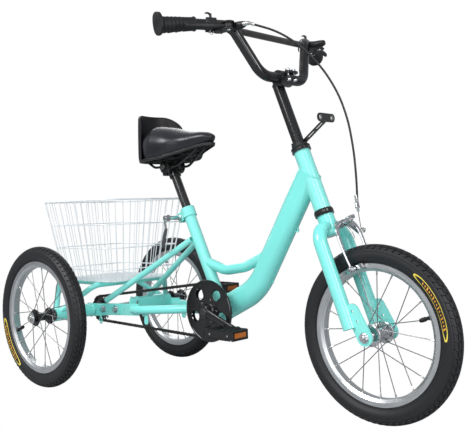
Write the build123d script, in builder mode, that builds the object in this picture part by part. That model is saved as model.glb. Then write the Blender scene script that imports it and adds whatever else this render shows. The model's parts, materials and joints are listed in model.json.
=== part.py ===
from build123d import *
import os
from math import cos, pi, radians, sin, sqrt

# Pedal tricycle with one steered front wheel, two rear wheels on a live axle, a step-through
# frame, a rear basket on a tube rack, a saddle with a low back and a hand-braked front wheel.
# Millimetres. +X forward, +Y to the rider's left, +Z up. The origin is on the ground, under the
# middle of the machine. Places are given forward of the rear axle and moved by at().

# ---------------------------------------------------------------- driving dimensions
WHEELBASE = 952
TRACK = 510
TYRE_RADIUS = 200
TYRE_WIDTH = 44
RIM_RADIUS = 158
RIM_WIDTH = 28
RIM_DEPTH = 17
SPOKE_COUNT = 20
SPOKE_RADIUS = 1.1

HEAD_ANGLE = 22
STEER_BASE = (816, 469)
STEM_RISE = 348
BAR_WIDTH = 600
BAR_RADIUS = 12.7
BAR_HEIGHT = 908

SEAT_TUBE_ANGLE = 25.5
SEAT_TUBE_LENGTH = 292
SEAT_POST_RADIUS = 12.7
SADDLE_FORWARD = 289
SADDLE_HEIGHT = 624

CHAIN_PITCH = 12.7
CHAIN_LINKS = 102
RING_TEETH = 36
SPROCKET_TEETH = 18
CHAIN_SIDE = -49
BRACKET_HEIGHT = 225
CRANK_LENGTH = 120
CRANK_ANGLE = -20
CRANK_SIDE = 69
PEDAL_SIDE = 106

PLATE_SIDE = 80
PLATE_THICKNESS = 5
AXLE_RADIUS = 7.5
HOUSING_RADIUS = 19
HOUSING_END = 217

BASKET_LENGTH = 339
BASKET_WIDTH = 322
BASKET_BOTTOM = 290
BASKET_TOP = 528

TUBE_WALL = 1.6
RUNNING_GAP = 0.05


# ---------------------------------------------------------------- frames of reference
def at(forward, side, up):
    """Place a point given forward of the rear axle, to the left and above the ground."""
    return Vector(forward - WHEELBASE / 2, side, up)


REAR_CENTRE = at(0, 0, TYRE_RADIUS)
FRONT_CENTRE = at(WHEELBASE, 0, TYRE_RADIUS)

STEERING = Plane(
    origin=at(STEER_BASE[0], 0, STEER_BASE[1]),
    x_dir=(cos(radians(HEAD_ANGLE)), 0, sin(radians(HEAD_ANGLE))),
    z_dir=(-sin(radians(HEAD_ANGLE)), 0, cos(radians(HEAD_ANGLE))),
)
STEER_AXIS = Axis(STEERING.origin, STEERING.z_dir)


def steer_at(ahead, side, up):
    """Place a point ahead of, beside and up along the steering axis."""
    return STEERING.from_local_coords(Vector(ahead, side, up))


# The chain closes exactly at this distance between the crank and the rear axle.
FREE_LINKS = CHAIN_LINKS - (RING_TEETH + SPROCKET_TEETH) / 2
TOOTH_STEP = (RING_TEETH - SPROCKET_TEETH) / (2 * pi)
CHAIN_CENTRES = CHAIN_PITCH / 4 * (FREE_LINKS + sqrt(FREE_LINKS**2 - 8 * TOOTH_STEP**2))
BRACKET_FORWARD = sqrt(CHAIN_CENTRES**2 - (BRACKET_HEIGHT - TYRE_RADIUS) ** 2)
CRANK_CENTRE = at(BRACKET_FORWARD, 0, BRACKET_HEIGHT)

SEAT_TUBE = Plane(
    origin=CRANK_CENTRE,
    x_dir=(cos(radians(SEAT_TUBE_ANGLE)), 0, sin(radians(SEAT_TUBE_ANGLE))),
    z_dir=(-sin(radians(SEAT_TUBE_ANGLE)), 0, cos(radians(SEAT_TUBE_ANGLE))),
)


def seat_at(ahead, side, up):
    """Place a point ahead of, beside and up along the seat tube from the crank centre."""
    return SEAT_TUBE.from_local_coords(Vector(ahead, side, up))


# ---------------------------------------------------------------- helpers
def side_plane(side):
    """An upright plane at a distance to the left: forward of the rear axle by height."""
    return Plane(origin=at(0, side, 0), x_dir=(1, 0, 0), z_dir=(0, -1, 0))


def rod(start, end, outer, inner=0.0):
    """A straight round bar or tube between two points."""
    with BuildPart() as bar:
        with BuildSketch(Plane(origin=start, z_dir=end - start)):
            Circle(outer)
            if inner:
                Circle(inner, mode=Mode.SUBTRACT)
        extrude(amount=(end - start).length)
    return bar.part


def bent_tube(points, bends, outer, inner=0.0):
    """A round bar or tube along straight runs joined by bends."""
    with BuildPart() as tube:
        with BuildLine():
            FilletPolyline(*points, radius=bends)
        with BuildSketch(Plane(origin=points[0], z_dir=points[1] - points[0])):
            Circle(outer)
            if inner:
                Circle(inner, mode=Mode.SUBTRACT)
        sweep()
    return tube.part


def across(centre, near, far, outer, inner=0.0):
    """A round bar or tube along Y about a centre, between two distances to the left."""
    start = Vector(centre.X, near, centre.Z)
    end = Vector(centre.X, far, centre.Z)
    return rod(start, end, outer, inner)


def hex_bolt(head, tip, shank, key_radius, head_height):
    """A hexagon-headed bolt from the top of its head to its tip."""
    along = (tip - head).normalized()
    with BuildPart() as bolt:
        with BuildSketch(Plane(origin=head, z_dir=along)):
            RegularPolygon(key_radius, 6)
        extrude(amount=head_height)
        with BuildSketch(Plane(origin=head + along * head_height, z_dir=along)):
            Circle(shank)
        extrude(amount=(tip - head).length - head_height)
    return bolt.part


os.makedirs("parts", exist_ok=True)


def save(sub_part, label):
    """Name a finished sub-part and write its file."""
    sub_part.part.label = label
    export_step(sub_part.part, "parts/" + label + ".step")


# ---------------------------------------------------------------- head tube and cups
HEAD_TUBE_RADIUS = 20
HEAD_TUBE_BORE = 16.5
HEAD_TUBE_FOOT = 8
HEAD_TUBE_TOP = 162
STEERER_RADIUS = 12.7
CUP_RADIUS = 23.5
CUP_HEIGHT = 9

with BuildPart() as head_tube:
    with BuildSketch(STEERING.offset(HEAD_TUBE_FOOT)):
        Circle(HEAD_TUBE_RADIUS)
        Circle(HEAD_TUBE_BORE, mode=Mode.SUBTRACT)
    extrude(amount=HEAD_TUBE_TOP - HEAD_TUBE_FOOT)

with BuildPart() as headset_cups:
    for foot in (HEAD_TUBE_FOOT - CUP_HEIGHT, HEAD_TUBE_TOP):
        with BuildSketch(STEERING.offset(foot)):
            Circle(CUP_RADIUS)
            Circle(STEERER_RADIUS + RUNNING_GAP, mode=Mode.SUBTRACT)
        extrude(amount=CUP_HEIGHT)
    chamfer(headset_cups.edges().filter_by(GeomType.CIRCLE).group_by(SortBy.RADIUS)[-1], 1.5)

# ---------------------------------------------------------------- bottom bracket shell
SHELL_RADIUS = 20
SHELL_BORE = 17
SHELL_HALF = 34
SPINDLE_RADIUS = 8

with BuildPart() as bottom_bracket_shell:
    add(across(CRANK_CENTRE, -SHELL_HALF, SHELL_HALF, SHELL_RADIUS, SHELL_BORE))

# ---------------------------------------------------------------- main tube
MAIN_TALL = 32
MAIN_WIDE = 22
MAIN_WALL = 2
MAIN_BEND = 150
MAIN_ROUTE = [at(779, 0, 570), at(599, 0, 282), at(466, 0, 218)]
EYELET_PLACES = [(733, 432), (647, 304)]

MAIN_CAP = 3
EYELET_RADIUS = 6


def main_run(wide, tall, cap):
    """The main tube's outer or inner form, closed by a flat cap past the bottom bracket."""
    start, corner, end = MAIN_ROUTE
    with BuildPart() as run:
        with BuildLine():
            FilletPolyline(*MAIN_ROUTE, radius=MAIN_BEND)
        with BuildSketch(Plane(origin=start, x_dir=(0, 1, 0), z_dir=corner - start)):
            Ellipse(wide, tall)
        sweep()
        if cap:
            with BuildSketch(Plane(origin=end, x_dir=(0, 1, 0), z_dir=end - corner)):
                Ellipse(wide, tall)
            extrude(amount=cap)
    return run.part


main_blank = main_run(MAIN_WIDE, MAIN_TALL, MAIN_CAP)
main_bore = main_run(MAIN_WIDE - MAIN_WALL, MAIN_TALL - MAIN_WALL, 0)
with BuildPart() as main_tube:
    add(main_blank)
    add(main_bore, mode=Mode.SUBTRACT)
    for forward, up in EYELET_PLACES:
        add(across(at(forward, 0, up), -1.5, 1.5, EYELET_RADIUS, EYELET_RADIUS / 2))
    with Locations(STEERING.offset((HEAD_TUBE_FOOT + HEAD_TUBE_TOP) / 2)):
        Cylinder(HEAD_TUBE_RADIUS, HEAD_TUBE_TOP - HEAD_TUBE_FOOT + 2, mode=Mode.SUBTRACT)
    with Locations(Plane(origin=CRANK_CENTRE, z_dir=(0, 1, 0))):
        Cylinder(SHELL_RADIUS, 4 * MAIN_WIDE, mode=Mode.SUBTRACT)

# ---------------------------------------------------------------- seat tube
SEAT_TUBE_RADIUS = 16

with BuildPart() as seat_tube:
    with BuildSketch(SEAT_TUBE.offset(10)):
        Circle(SEAT_TUBE_RADIUS)
        Circle(SEAT_POST_RADIUS + RUNNING_GAP, mode=Mode.SUBTRACT)
    extrude(amount=SEAT_TUBE_LENGTH - 10)
    with Locations(Plane(origin=CRANK_CENTRE, z_dir=(0, 1, 0))):
        Cylinder(SHELL_RADIUS, 4 * MAIN_WIDE, mode=Mode.SUBTRACT)
    add(main_blank, mode=Mode.SUBTRACT)

# ---------------------------------------------------------------- cross tube
CROSS_RADIUS = 13.5
CROSS_ROUTE = [at(413, 0, 349), at(486, 0, 327), at(560, 0, 338), at(625, 0, 366)]

cross_bar = bent_tube(CROSS_ROUTE, [90, 90], CROSS_RADIUS, CROSS_RADIUS - TUBE_WALL)
with BuildPart() as cross_tube:
    add(cross_bar)
    with Locations(SEAT_TUBE.offset(SEAT_TUBE_LENGTH / 2)):
        Cylinder(SEAT_TUBE_RADIUS, SEAT_TUBE_LENGTH, mode=Mode.SUBTRACT)
    add(main_blank, mode=Mode.SUBTRACT)

# ---------------------------------------------------------------- chainstays and axle plates
STAY_RADIUS = 12
CHAINSTAY_ROUTE = [at(470, 24, 224), at(385, 29, 221), at(228, 78, 213), at(190, 80, 212)]
PLATE_FRONT = 214
BOLT_HOLE_RADIUS = 4.05
BRIDGE_CENTRE = 224
BRIDGE_HOLE = 11
BRIDGE_HOLE_SIDE = 48
CHAINSTAY_BENDS = [60, 60]
PLATE_REAR = 34
PLATE_HALF_HEIGHT = 17
BRIDGE_FORWARD = 170
BRIDGE_HEIGHT = 32
BOLT_PLACES = [(57, 205), (116, 209)]

with BuildPart() as axle_plates:
    with BuildSketch(side_plane(PLATE_SIDE)):
        Polygon(
            (PLATE_REAR, 203 - PLATE_HALF_HEIGHT),
            (PLATE_FRONT, 213 - PLATE_HALF_HEIGHT),
            (PLATE_FRONT, 213 + PLATE_HALF_HEIGHT),
            (PLATE_REAR, 203 + PLATE_HALF_HEIGHT),
            align=None,
        )
        with Locations(*BOLT_PLACES):
            Circle(BOLT_HOLE_RADIUS, mode=Mode.SUBTRACT)
    extrude(amount=PLATE_THICKNESS)
    mirror(about=Plane.XZ)
    with BuildSketch(Plane(origin=at(BRIDGE_FORWARD, 0, BRIDGE_CENTRE), x_dir=(0, 1, 0), z_dir=(1, 0, 0))):
        Rectangle(2 * (PLATE_SIDE - PLATE_THICKNESS), BRIDGE_HEIGHT)
        with Locations((-BRIDGE_HOLE_SIDE, 4), (BRIDGE_HOLE_SIDE, 4)):
            Rectangle(BRIDGE_HOLE, BRIDGE_HOLE, mode=Mode.SUBTRACT)
    extrude(amount=PLATE_THICKNESS)

chainstay = bent_tube(CHAINSTAY_ROUTE, CHAINSTAY_BENDS, STAY_RADIUS, STAY_RADIUS - TUBE_WALL)
with BuildPart() as chainstays:
    add(chainstay)
    mirror(about=Plane.XZ)
    add(axle_plates.part, mode=Mode.SUBTRACT)
    with Locations(Plane(origin=CRANK_CENTRE, z_dir=(0, 1, 0))):
        Cylinder(SHELL_RADIUS, 4 * MAIN_WIDE, mode=Mode.SUBTRACT)
    add(main_blank, mode=Mode.SUBTRACT)

# ---------------------------------------------------------------- seat stays
SEATSTAY_RADIUS = 8.5
SEATSTAY_TOP = at(376, 15, 409)
SEATSTAY_FOOT = at(70, 81, 231)

seatstay = rod(SEATSTAY_TOP, SEATSTAY_FOOT, SEATSTAY_RADIUS, SEATSTAY_RADIUS - TUBE_WALL)
with BuildPart() as seatstays:
    add(seatstay)
    mirror(about=Plane.XZ)
    with Locations(SEAT_TUBE.offset(SEAT_TUBE_LENGTH / 2)):
        Cylinder(SEAT_TUBE_RADIUS, SEAT_TUBE_LENGTH, mode=Mode.SUBTRACT)
    add(axle_plates.part, mode=Mode.SUBTRACT)

# ---------------------------------------------------------------- axle housings and bearings
HOUSING_BORE = 16
BEARING_WIDTH = 10
HOUSING_PLATE_REAR = -23
HOUSING_PLATE_FRONT = 134
HOUSING_PLATE_HALF = 15

with BuildPart() as axle_housings:
    with BuildSketch(side_plane(PLATE_SIDE + PLATE_THICKNESS)):
        Polygon(
            (HOUSING_PLATE_REAR, 200 - HOUSING_RADIUS),
            (10, 200 - HOUSING_RADIUS),
            (HOUSING_PLATE_FRONT, 209 - HOUSING_PLATE_HALF),
            (HOUSING_PLATE_FRONT, 209 + HOUSING_PLATE_HALF),
            (10, 200 + HOUSING_RADIUS),
            (HOUSING_PLATE_REAR, 200 + HOUSING_RADIUS),
            align=None,
        )
        with Locations(*BOLT_PLACES):
            Circle(BOLT_HOLE_RADIUS, mode=Mode.SUBTRACT)
    extrude(amount=PLATE_THICKNESS)
    add(across(REAR_CENTRE, PLATE_SIDE, HOUSING_END, HOUSING_RADIUS))
    add(across(REAR_CENTRE, PLATE_SIDE - 1, HOUSING_END + 1, HOUSING_BORE), mode=Mode.SUBTRACT)
    mirror(about=Plane.XZ)

with BuildPart() as bearings:
    for inner in (PLATE_SIDE + 4, HOUSING_END - BEARING_WIDTH):
        outer = inner + BEARING_WIDTH
        add(across(REAR_CENTRE, inner, outer, HOUSING_BORE, AXLE_RADIUS + RUNNING_GAP))
    spindle_bore = SPINDLE_RADIUS + RUNNING_GAP
    add(across(CRANK_CENTRE, SHELL_HALF - BEARING_WIDTH, SHELL_HALF, SHELL_BORE, spindle_bore))
    mirror(about=Plane.XZ)

# ---------------------------------------------------------------- basket rack
RACK_RADIUS = 8
RACK_FRONT = 85
RACK_REAR = -100
RACK_HALF = 132
RACK_LEG_SIDE = 203
RAIL_RADIUS = 6
RAIL_SIDE = 104
rack_height = BASKET_BOTTOM - RACK_RADIUS

front_route = [
    at(8, -RACK_LEG_SIDE, 208),
    at(RACK_FRONT, -RACK_HALF, rack_height),
    at(RACK_FRONT, RACK_HALF, rack_height),
    at(8, RACK_LEG_SIDE, 208),
]
rear_route = [
    at(-8, -RACK_LEG_SIDE, 208),
    at(RACK_REAR, -RACK_HALF, rack_height),
    at(RACK_REAR, RACK_HALF, rack_height),
    at(-8, RACK_LEG_SIDE, 208),
]
front_loop = bent_tube(front_route, [40, 40], RACK_RADIUS, RACK_RADIUS - TUBE_WALL)
rear_loop = bent_tube(rear_route, [40, 40], RACK_RADIUS, RACK_RADIUS - TUBE_WALL)

with BuildPart() as rack:
    add(front_loop)
    add(rear_loop)
    rail_height = BASKET_BOTTOM - RAIL_RADIUS
    for side in (-RAIL_SIDE, RAIL_SIDE):
        add(rod(at(RACK_REAR, side, rail_height), at(RACK_FRONT, side, rail_height), RAIL_RADIUS))
    add(across(REAR_CENTRE, -HOUSING_END, HOUSING_END, HOUSING_RADIUS), mode=Mode.SUBTRACT)

# ---------------------------------------------------------------- basket
BASKET_FORWARD = 20
BASKET_WALL = 3.5
BASKET_CORNER = 45
BASKET_TAPER = 80

with BuildPart() as basket:
    for wall, foot in ((0, 0), (BASKET_WALL, BASKET_WALL)):
        rise = (BASKET_TOP - BASKET_BOTTOM - foot) / (BASKET_TOP - BASKET_BOTTOM)
        narrow = 2 * wall + BASKET_TAPER * rise
        low = at(BASKET_FORWARD, 0, BASKET_BOTTOM + foot)
        high = at(BASKET_FORWARD, 0, BASKET_TOP)
        with BuildSketch(Plane(origin=low)):
            RectangleRounded(BASKET_LENGTH - narrow, BASKET_WIDTH - narrow, BASKET_CORNER - wall - 10)
        with BuildSketch(Plane(origin=high)):
            RectangleRounded(BASKET_LENGTH - 2 * wall, BASKET_WIDTH - 2 * wall, BASKET_CORNER - wall)
        loft(mode=Mode.SUBTRACT if wall else Mode.ADD)

# ---------------------------------------------------------------- seat collar and quick release
COLLAR_RADIUS = 20
COLLAR_FOOT = 272
COLLAR_TOP = 298
SKEWER_BACK = 30
SKEWER_RADIUS = 3
SKEWER_END = -47.7
LEVER_LENGTH = 82
collar_middle = (COLLAR_FOOT + COLLAR_TOP) / 2
skewer = seat_at(-SKEWER_BACK, 0, collar_middle)

with BuildPart() as seat_collar:
    with BuildSketch(SEAT_TUBE.offset(COLLAR_FOOT)):
        Circle(COLLAR_RADIUS)
        with Locations((-SKEWER_BACK + 4, 0)):
            Rectangle(22, 18)
        Circle(SEAT_TUBE_RADIUS, mode=Mode.SUBTRACT)
        with Locations((-SKEWER_BACK, 0)):
            Rectangle(26, 3, mode=Mode.SUBTRACT)
    extrude(amount=COLLAR_TOP - COLLAR_FOOT)
    add(across(skewer, -20, 20, SKEWER_RADIUS + RUNNING_GAP), mode=Mode.SUBTRACT)

quick_release_skewer = across(skewer, SKEWER_END, 16, SKEWER_RADIUS)
skewer_nut = across(skewer, 9.2, 17, 8)
skewer_sleeve = across(skewer, SKEWER_END, -9.2, 6)
with BuildPart() as frame_bolts:
    for forward, up in BOLT_PLACES:
        head = at(forward, PLATE_SIDE + PLATE_THICKNESS + 7, up)
        seat = at(forward, PLATE_SIDE + PLATE_THICKNESS, up)
        tip = at(forward, PLATE_SIDE - PLATE_THICKNESS - 9, up)
        nut = at(forward, PLATE_SIDE - PLATE_THICKNESS, up)
        add(hex_bolt(head, tip, 4, 8, 7))
        add(hex_bolt(nut, tip, 4, 7.5, 7))
    mirror(about=Plane.XZ)
    add(quick_release_skewer)
    add(skewer_nut)
    add(skewer_sleeve)

with BuildPart() as quick_release_lever:
    lever_top = Vector(skewer.X, SKEWER_END - 9.3, skewer.Z)
    lever_heel = lever_top + Vector(-4, 0, -28)
    lever_tip = lever_top + Vector(-18, -2, -LEVER_LENGTH)
    with Locations(Plane(origin=lever_top, z_dir=(1, 0, 0))):
        Cylinder(9, 12)
    add(rod(lever_top + Vector(0, -2, -4), lever_heel, 4))
    add(rod(lever_heel, lever_tip, 5.5))

# ---------------------------------------------------------------- seat post and saddle
POST_FOOT = 150
SADDLE_MIDDLE = 290
SADDLE_BACK = 84
BACK_OUTER = 94
BACK_THICKNESS = 8
BACK_FOOT = 632
BACK_TOP = 764
BACK_HALF = 78
BACK_CORNER = 36
PAN_THICKNESS = 5
RAIL_WIRE = 3.5
saddle_clamp_up = (SADDLE_HEIGHT - BRACKET_HEIGHT) / cos(radians(SEAT_TUBE_ANGLE))

rail_low = SADDLE_HEIGHT - 12

with BuildPart() as seat_post:
    with BuildSketch(SEAT_TUBE.offset(POST_FOOT)):
        Circle(SEAT_POST_RADIUS)
        Circle(SEAT_POST_RADIUS - 2, mode=Mode.SUBTRACT)
    extrude(amount=saddle_clamp_up - 20 - POST_FOOT)

with BuildPart() as saddle_clamp:
    clamp_centre = at(SADDLE_FORWARD + 2, 0, rail_low)
    with BuildSketch(Plane(origin=seat_at(0, 0, saddle_clamp_up - 44), z_dir=SEAT_TUBE.z_dir)):
        Circle(SEAT_POST_RADIUS + 4)
    extrude(amount=38)
    with Locations(Plane(origin=clamp_centre, z_dir=(0, 1, 0))):
        Cylinder(14, 56)
    add(seat_post.part, mode=Mode.SUBTRACT)
    with Locations(SEAT_TUBE.offset(saddle_clamp_up - 44)):
        Cylinder(SEAT_POST_RADIUS - 1, 50, mode=Mode.SUBTRACT)

# The saddle's plan is a round back that draws in to a narrow nose. The pan has the same shape
# and stands a little further out at the back, where the backrest stands on it.
NOSE_LINE = [(336, 74), (376, 46), (420, 31), (452, 16), (459, 0)]
TOP_LINE = [(188, 672), (208, 706), (245, 728), (310, 721), (370, 705), (425, 706), (452, 692), (462, 674)]
UNDER_LINE = [(466, 669), (420, 662), (370, 650), (325, 637), (260, 632), (165, 632)]


def saddle_plan(back_radius, shrink):
    """A closed outline: an arc round the back and a curve along each side to the nose."""
    with BuildSketch(Plane(origin=at(0, 0, BACK_FOOT - 60))) as plan:
        with BuildLine():
            ThreePointArc(
                (SADDLE_MIDDLE, -back_radius),
                (SADDLE_MIDDLE - back_radius, 0),
                (SADDLE_MIDDLE, back_radius),
            )
            side_line = [(SADDLE_MIDDLE, back_radius)] + [(x - shrink, y) for x, y in NOSE_LINE]
            Spline(*side_line, tangents=[(1, 0), (0, -1)])
            Spline(*[(x, -y) for x, y in side_line], tangents=[(1, 0), (0, 1)])
        make_face()
    return plan.sketch


with BuildPart() as saddle_cover:
    extrude(saddle_plan(SADDLE_BACK, 0).face(), amount=BACK_TOP - BACK_FOOT + 60, dir=(0, 0, 1))
    with BuildSketch(side_plane(BAR_WIDTH / 2)):
        with BuildLine():
            Spline(*TOP_LINE)
            Line(TOP_LINE[-1], UNDER_LINE[0])
            Polyline(*UNDER_LINE)
            Line(UNDER_LINE[-1], TOP_LINE[0])
        make_face()
    extrude(amount=BAR_WIDTH, mode=Mode.INTERSECT)

with BuildPart() as saddle_base:
    extrude(saddle_plan(BACK_OUTER, 3).face(), amount=BACK_TOP - BACK_FOOT, dir=(0, 0, 1))
    with BuildSketch(side_plane(BAR_WIDTH / 2)):
        Polygon(
            *UNDER_LINE,
            *[(x, z - PAN_THICKNESS) for x, z in reversed(UNDER_LINE)],
            align=None,
        )
    extrude(amount=BAR_WIDTH, mode=Mode.INTERSECT)

with BuildPart() as backrest:
    with BuildSketch(Plane(origin=at(SADDLE_MIDDLE, 0, BACK_FOOT))):
        Circle(BACK_OUTER)
        Circle(BACK_OUTER - BACK_THICKNESS, mode=Mode.SUBTRACT)
    extrude(amount=BACK_TOP - BACK_FOOT)
    with BuildSketch(Plane(origin=at(SADDLE_MIDDLE, 0, 0), x_dir=(0, -1, 0), z_dir=(-1, 0, 0))):
        with Locations((0, BACK_TOP - BACK_CORNER)):
            RectangleRounded(2 * BACK_HALF, 2 * BACK_CORNER, BACK_CORNER - 0.1)
        with Locations((0, (BACK_FOOT + BACK_TOP - BACK_CORNER) / 2)):
            Rectangle(2 * BACK_HALF, BACK_TOP - BACK_CORNER - BACK_FOOT)
    extrude(amount=2 * SADDLE_BACK, mode=Mode.INTERSECT)

rail_route = [
    at(220, 34, 632),
    at(250, 30, rail_low),
    at(334, 22, rail_low),
    at(408, 14, 656),
]
rail_wire = bent_tube(rail_route, [24, 40], RAIL_WIRE)
with BuildPart() as saddle_wires:
    add(rail_wire)
    mirror(about=Plane.XZ)
    add(saddle_cover.part, mode=Mode.SUBTRACT)
    add(saddle_base.part, mode=Mode.SUBTRACT)

with BuildPart() as saddle_clamp_and_rails:
    add(saddle_clamp.part)
    add(saddle_wires.part)

# ---------------------------------------------------------------- chain, sprocket and chainring
PLATE_LAP = 4.2
ROLLER_RADIUS = 3.8
LINK_INSIDE = 3.5
LINK_OUTSIDE = 7.3
TOOTH_WIDTH = 2.2
RING_BORE = 17
RING_WINDOW = 17
RING_WINDOWS = 5


def pitch_radius(teeth):
    """Radius of the circle through the roller centres of a sprocket."""
    return CHAIN_PITCH / 2 / sin(pi / teeth)


RING_PITCH = pitch_radius(RING_TEETH)
SPROCKET_PITCH = pitch_radius(SPROCKET_TEETH)
ring_place = (BRACKET_FORWARD, BRACKET_HEIGHT)
sprocket_place = (0, TYRE_RADIUS)
link_plate = (LINK_OUTSIDE - LINK_INSIDE) / 2


def band(side, lap):
    """A belt-shaped face about both pitch circles, each grown by a lap."""
    with BuildSketch(side_plane(side)) as wrap:
        with Locations(ring_place):
            Circle(RING_PITCH + lap)
        with Locations(sprocket_place):
            Circle(SPROCKET_PITCH + lap)
        make_hull()
    return wrap.sketch


# Two link-plate loops straddle the teeth. Rollers join them on the straight runs only, so the
# wheels turn freely between the plates.
run_tilt = (BRACKET_HEIGHT - TYRE_RADIUS) / CHAIN_CENTRES
run_slope = (RING_PITCH - SPROCKET_PITCH) / CHAIN_CENTRES
run_length = sqrt(CHAIN_CENTRES**2 - (RING_PITCH - SPROCKET_PITCH) ** 2)
run_steps = int(run_length / CHAIN_PITCH)

with BuildPart() as chain:
    for side in (CHAIN_SIDE + LINK_OUTSIDE / 2, CHAIN_SIDE - LINK_INSIDE / 2):
        extrude(band(side, PLATE_LAP).face(), amount=link_plate, dir=(0, -1, 0))
    for side in (CHAIN_SIDE + LINK_OUTSIDE / 2, CHAIN_SIDE - LINK_INSIDE / 2):
        inside = band(side, -PLATE_LAP).face()
        extrude(inside, amount=link_plate, dir=(0, -1, 0), mode=Mode.SUBTRACT)
    for above in (1, -1):
        normal_angle = Vector(-run_slope, 0, above * sqrt(1 - run_slope**2))
        normal = normal_angle.rotate(Axis.Y, -90 * 2 / pi * run_tilt)
        rear_end = REAR_CENTRE + normal * SPROCKET_PITCH
        front_end = CRANK_CENTRE + normal * RING_PITCH
        step = (front_end - rear_end) / run_steps
        for count in range(3, run_steps - 2):
            pin = rear_end + step * count
            add(across(pin, CHAIN_SIDE - LINK_OUTSIDE / 2, CHAIN_SIDE + LINK_OUTSIDE / 2, ROLLER_RADIUS))


def toothed_wheel(centre, teeth, bore):
    """A chain wheel with a pocket for every roller."""
    reach = pitch_radius(teeth)
    with BuildPart() as wheel:
        with BuildSketch(Plane(origin=centre + Vector(0, CHAIN_SIDE + TOOTH_WIDTH / 2, 0), z_dir=(0, -1, 0))):
            Circle(reach + 3.4)
            Circle(bore, mode=Mode.SUBTRACT)
            with PolarLocations(reach, teeth):
                Circle(ROLLER_RADIUS + 0.2, mode=Mode.SUBTRACT)
        extrude(amount=TOOTH_WIDTH)
    return wheel.part


# ---------------------------------------------------------------- rear sprocket and axle
FREEWHEEL_RADIUS = 23
FREEWHEEL_HALF = 9
AXLE_END = 298
HUB_INNER = 222
HUB_OUTER = 288
AXLE_NUT = 7

sprocket_disc = toothed_wheel(REAR_CENTRE, SPROCKET_TEETH, FREEWHEEL_RADIUS)
with BuildPart() as rear_sprocket:
    add(sprocket_disc)
    bore = AXLE_RADIUS + RUNNING_GAP
    add(across(REAR_CENTRE, CHAIN_SIDE - FREEWHEEL_HALF, CHAIN_SIDE + FREEWHEEL_HALF, FREEWHEEL_RADIUS, bore))

with BuildPart() as rear_axle:
    add(across(REAR_CENTRE, -AXLE_END, AXLE_END, AXLE_RADIUS))
    for side in (CHAIN_SIDE + FREEWHEEL_HALF + 0.5, CHAIN_SIDE - FREEWHEEL_HALF - 6.5):
        add(across(REAR_CENTRE, side, side + 6, AXLE_RADIUS + 6))
    for side in (HUB_OUTER + 0.4, -HUB_OUTER - 7.4):
        with BuildSketch(Plane(origin=REAR_CENTRE + Vector(0, side, 0), z_dir=(0, 1, 0))):
            RegularPolygon(11, 6)
        extrude(amount=7)

# ---------------------------------------------------------------- cranks and pedals
RING_FACE = CHAIN_SIDE - TOOTH_WIDTH / 2
GUARD_NEAR = -57
GUARD_THICKNESS = 2
GUARD_RADIUS = 81
GUARD_WINDOW_RADIUS = 52
ARM_THICKNESS = 13
ARM_INNER = CRANK_SIDE - ARM_THICKNESS / 2
ARM_OUTER = CRANK_SIDE + ARM_THICKNESS / 2
PEDAL_AXLE = 4.5
PEDAL_LENGTH = 94
PEDAL_WIDTH = 60
PEDAL_HEIGHT = 26
pedal_reach = Vector(cos(radians(CRANK_ANGLE)), 0, sin(radians(CRANK_ANGLE))) * CRANK_LENGTH

crank_spindle = across(CRANK_CENTRE, -ARM_OUTER + 2, ARM_OUTER - 2, SPINDLE_RADIUS)

ring_disc = toothed_wheel(CRANK_CENTRE, RING_TEETH, RING_BORE)
with BuildPart() as ring_plate:
    add(ring_disc)
    with BuildSketch(Plane(origin=CRANK_CENTRE + Vector(0, CHAIN_SIDE + TOOTH_WIDTH, 0), z_dir=(0, -1, 0))):
        with PolarLocations(45, RING_WINDOWS):
            Circle(RING_WINDOW)
    extrude(amount=2 * TOOTH_WIDTH, mode=Mode.SUBTRACT)

with BuildPart() as guard_plate:
    with BuildSketch(Plane(origin=CRANK_CENTRE + Vector(0, GUARD_NEAR + GUARD_THICKNESS, 0), z_dir=(0, -1, 0))):
        Circle(GUARD_RADIUS)
        Circle(RING_BORE, mode=Mode.SUBTRACT)
        with PolarLocations(GUARD_WINDOW_RADIUS, RING_WINDOWS):
            Circle(15, mode=Mode.SUBTRACT)
    extrude(amount=GUARD_THICKNESS)

with BuildPart() as chainring:
    add(ring_plate.part)
    add(guard_plate.part)


def crank_arm(side, reach):
    """A flat arm with round ends from the spindle to a pedal, on one side."""
    end = CRANK_CENTRE + reach
    with BuildPart() as arm:
        with BuildSketch(Plane(origin=Vector(0, side * ARM_INNER, 0), x_dir=(1, 0, 0), z_dir=(0, side, 0))):
            for place, radius in ((CRANK_CENTRE, 17), (end, 12)):
                with Locations((place.X, -side * place.Z)):
                    Circle(radius)
            make_hull()
        extrude(amount=ARM_THICKNESS)
        add(across(end, side * (ARM_INNER - 1), side * (ARM_OUTER + 1), PEDAL_AXLE), mode=Mode.SUBTRACT)
    return arm.part


with BuildPart() as crank_arms:
    add(crank_arm(-1, pedal_reach))
    add(across(CRANK_CENTRE, CHAIN_SIDE - 1.2, -ARM_INNER, RING_BORE))
    add(across(CRANK_CENTRE, GUARD_NEAR + GUARD_THICKNESS, RING_FACE, 24))
    add(across(CRANK_CENTRE, RING_FACE, -RING_FACE, RING_BORE), mode=Mode.SUBTRACT)
    add(crank_arm(1, pedal_reach * -1))
    add(crank_spindle, mode=Mode.SUBTRACT)


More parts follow.
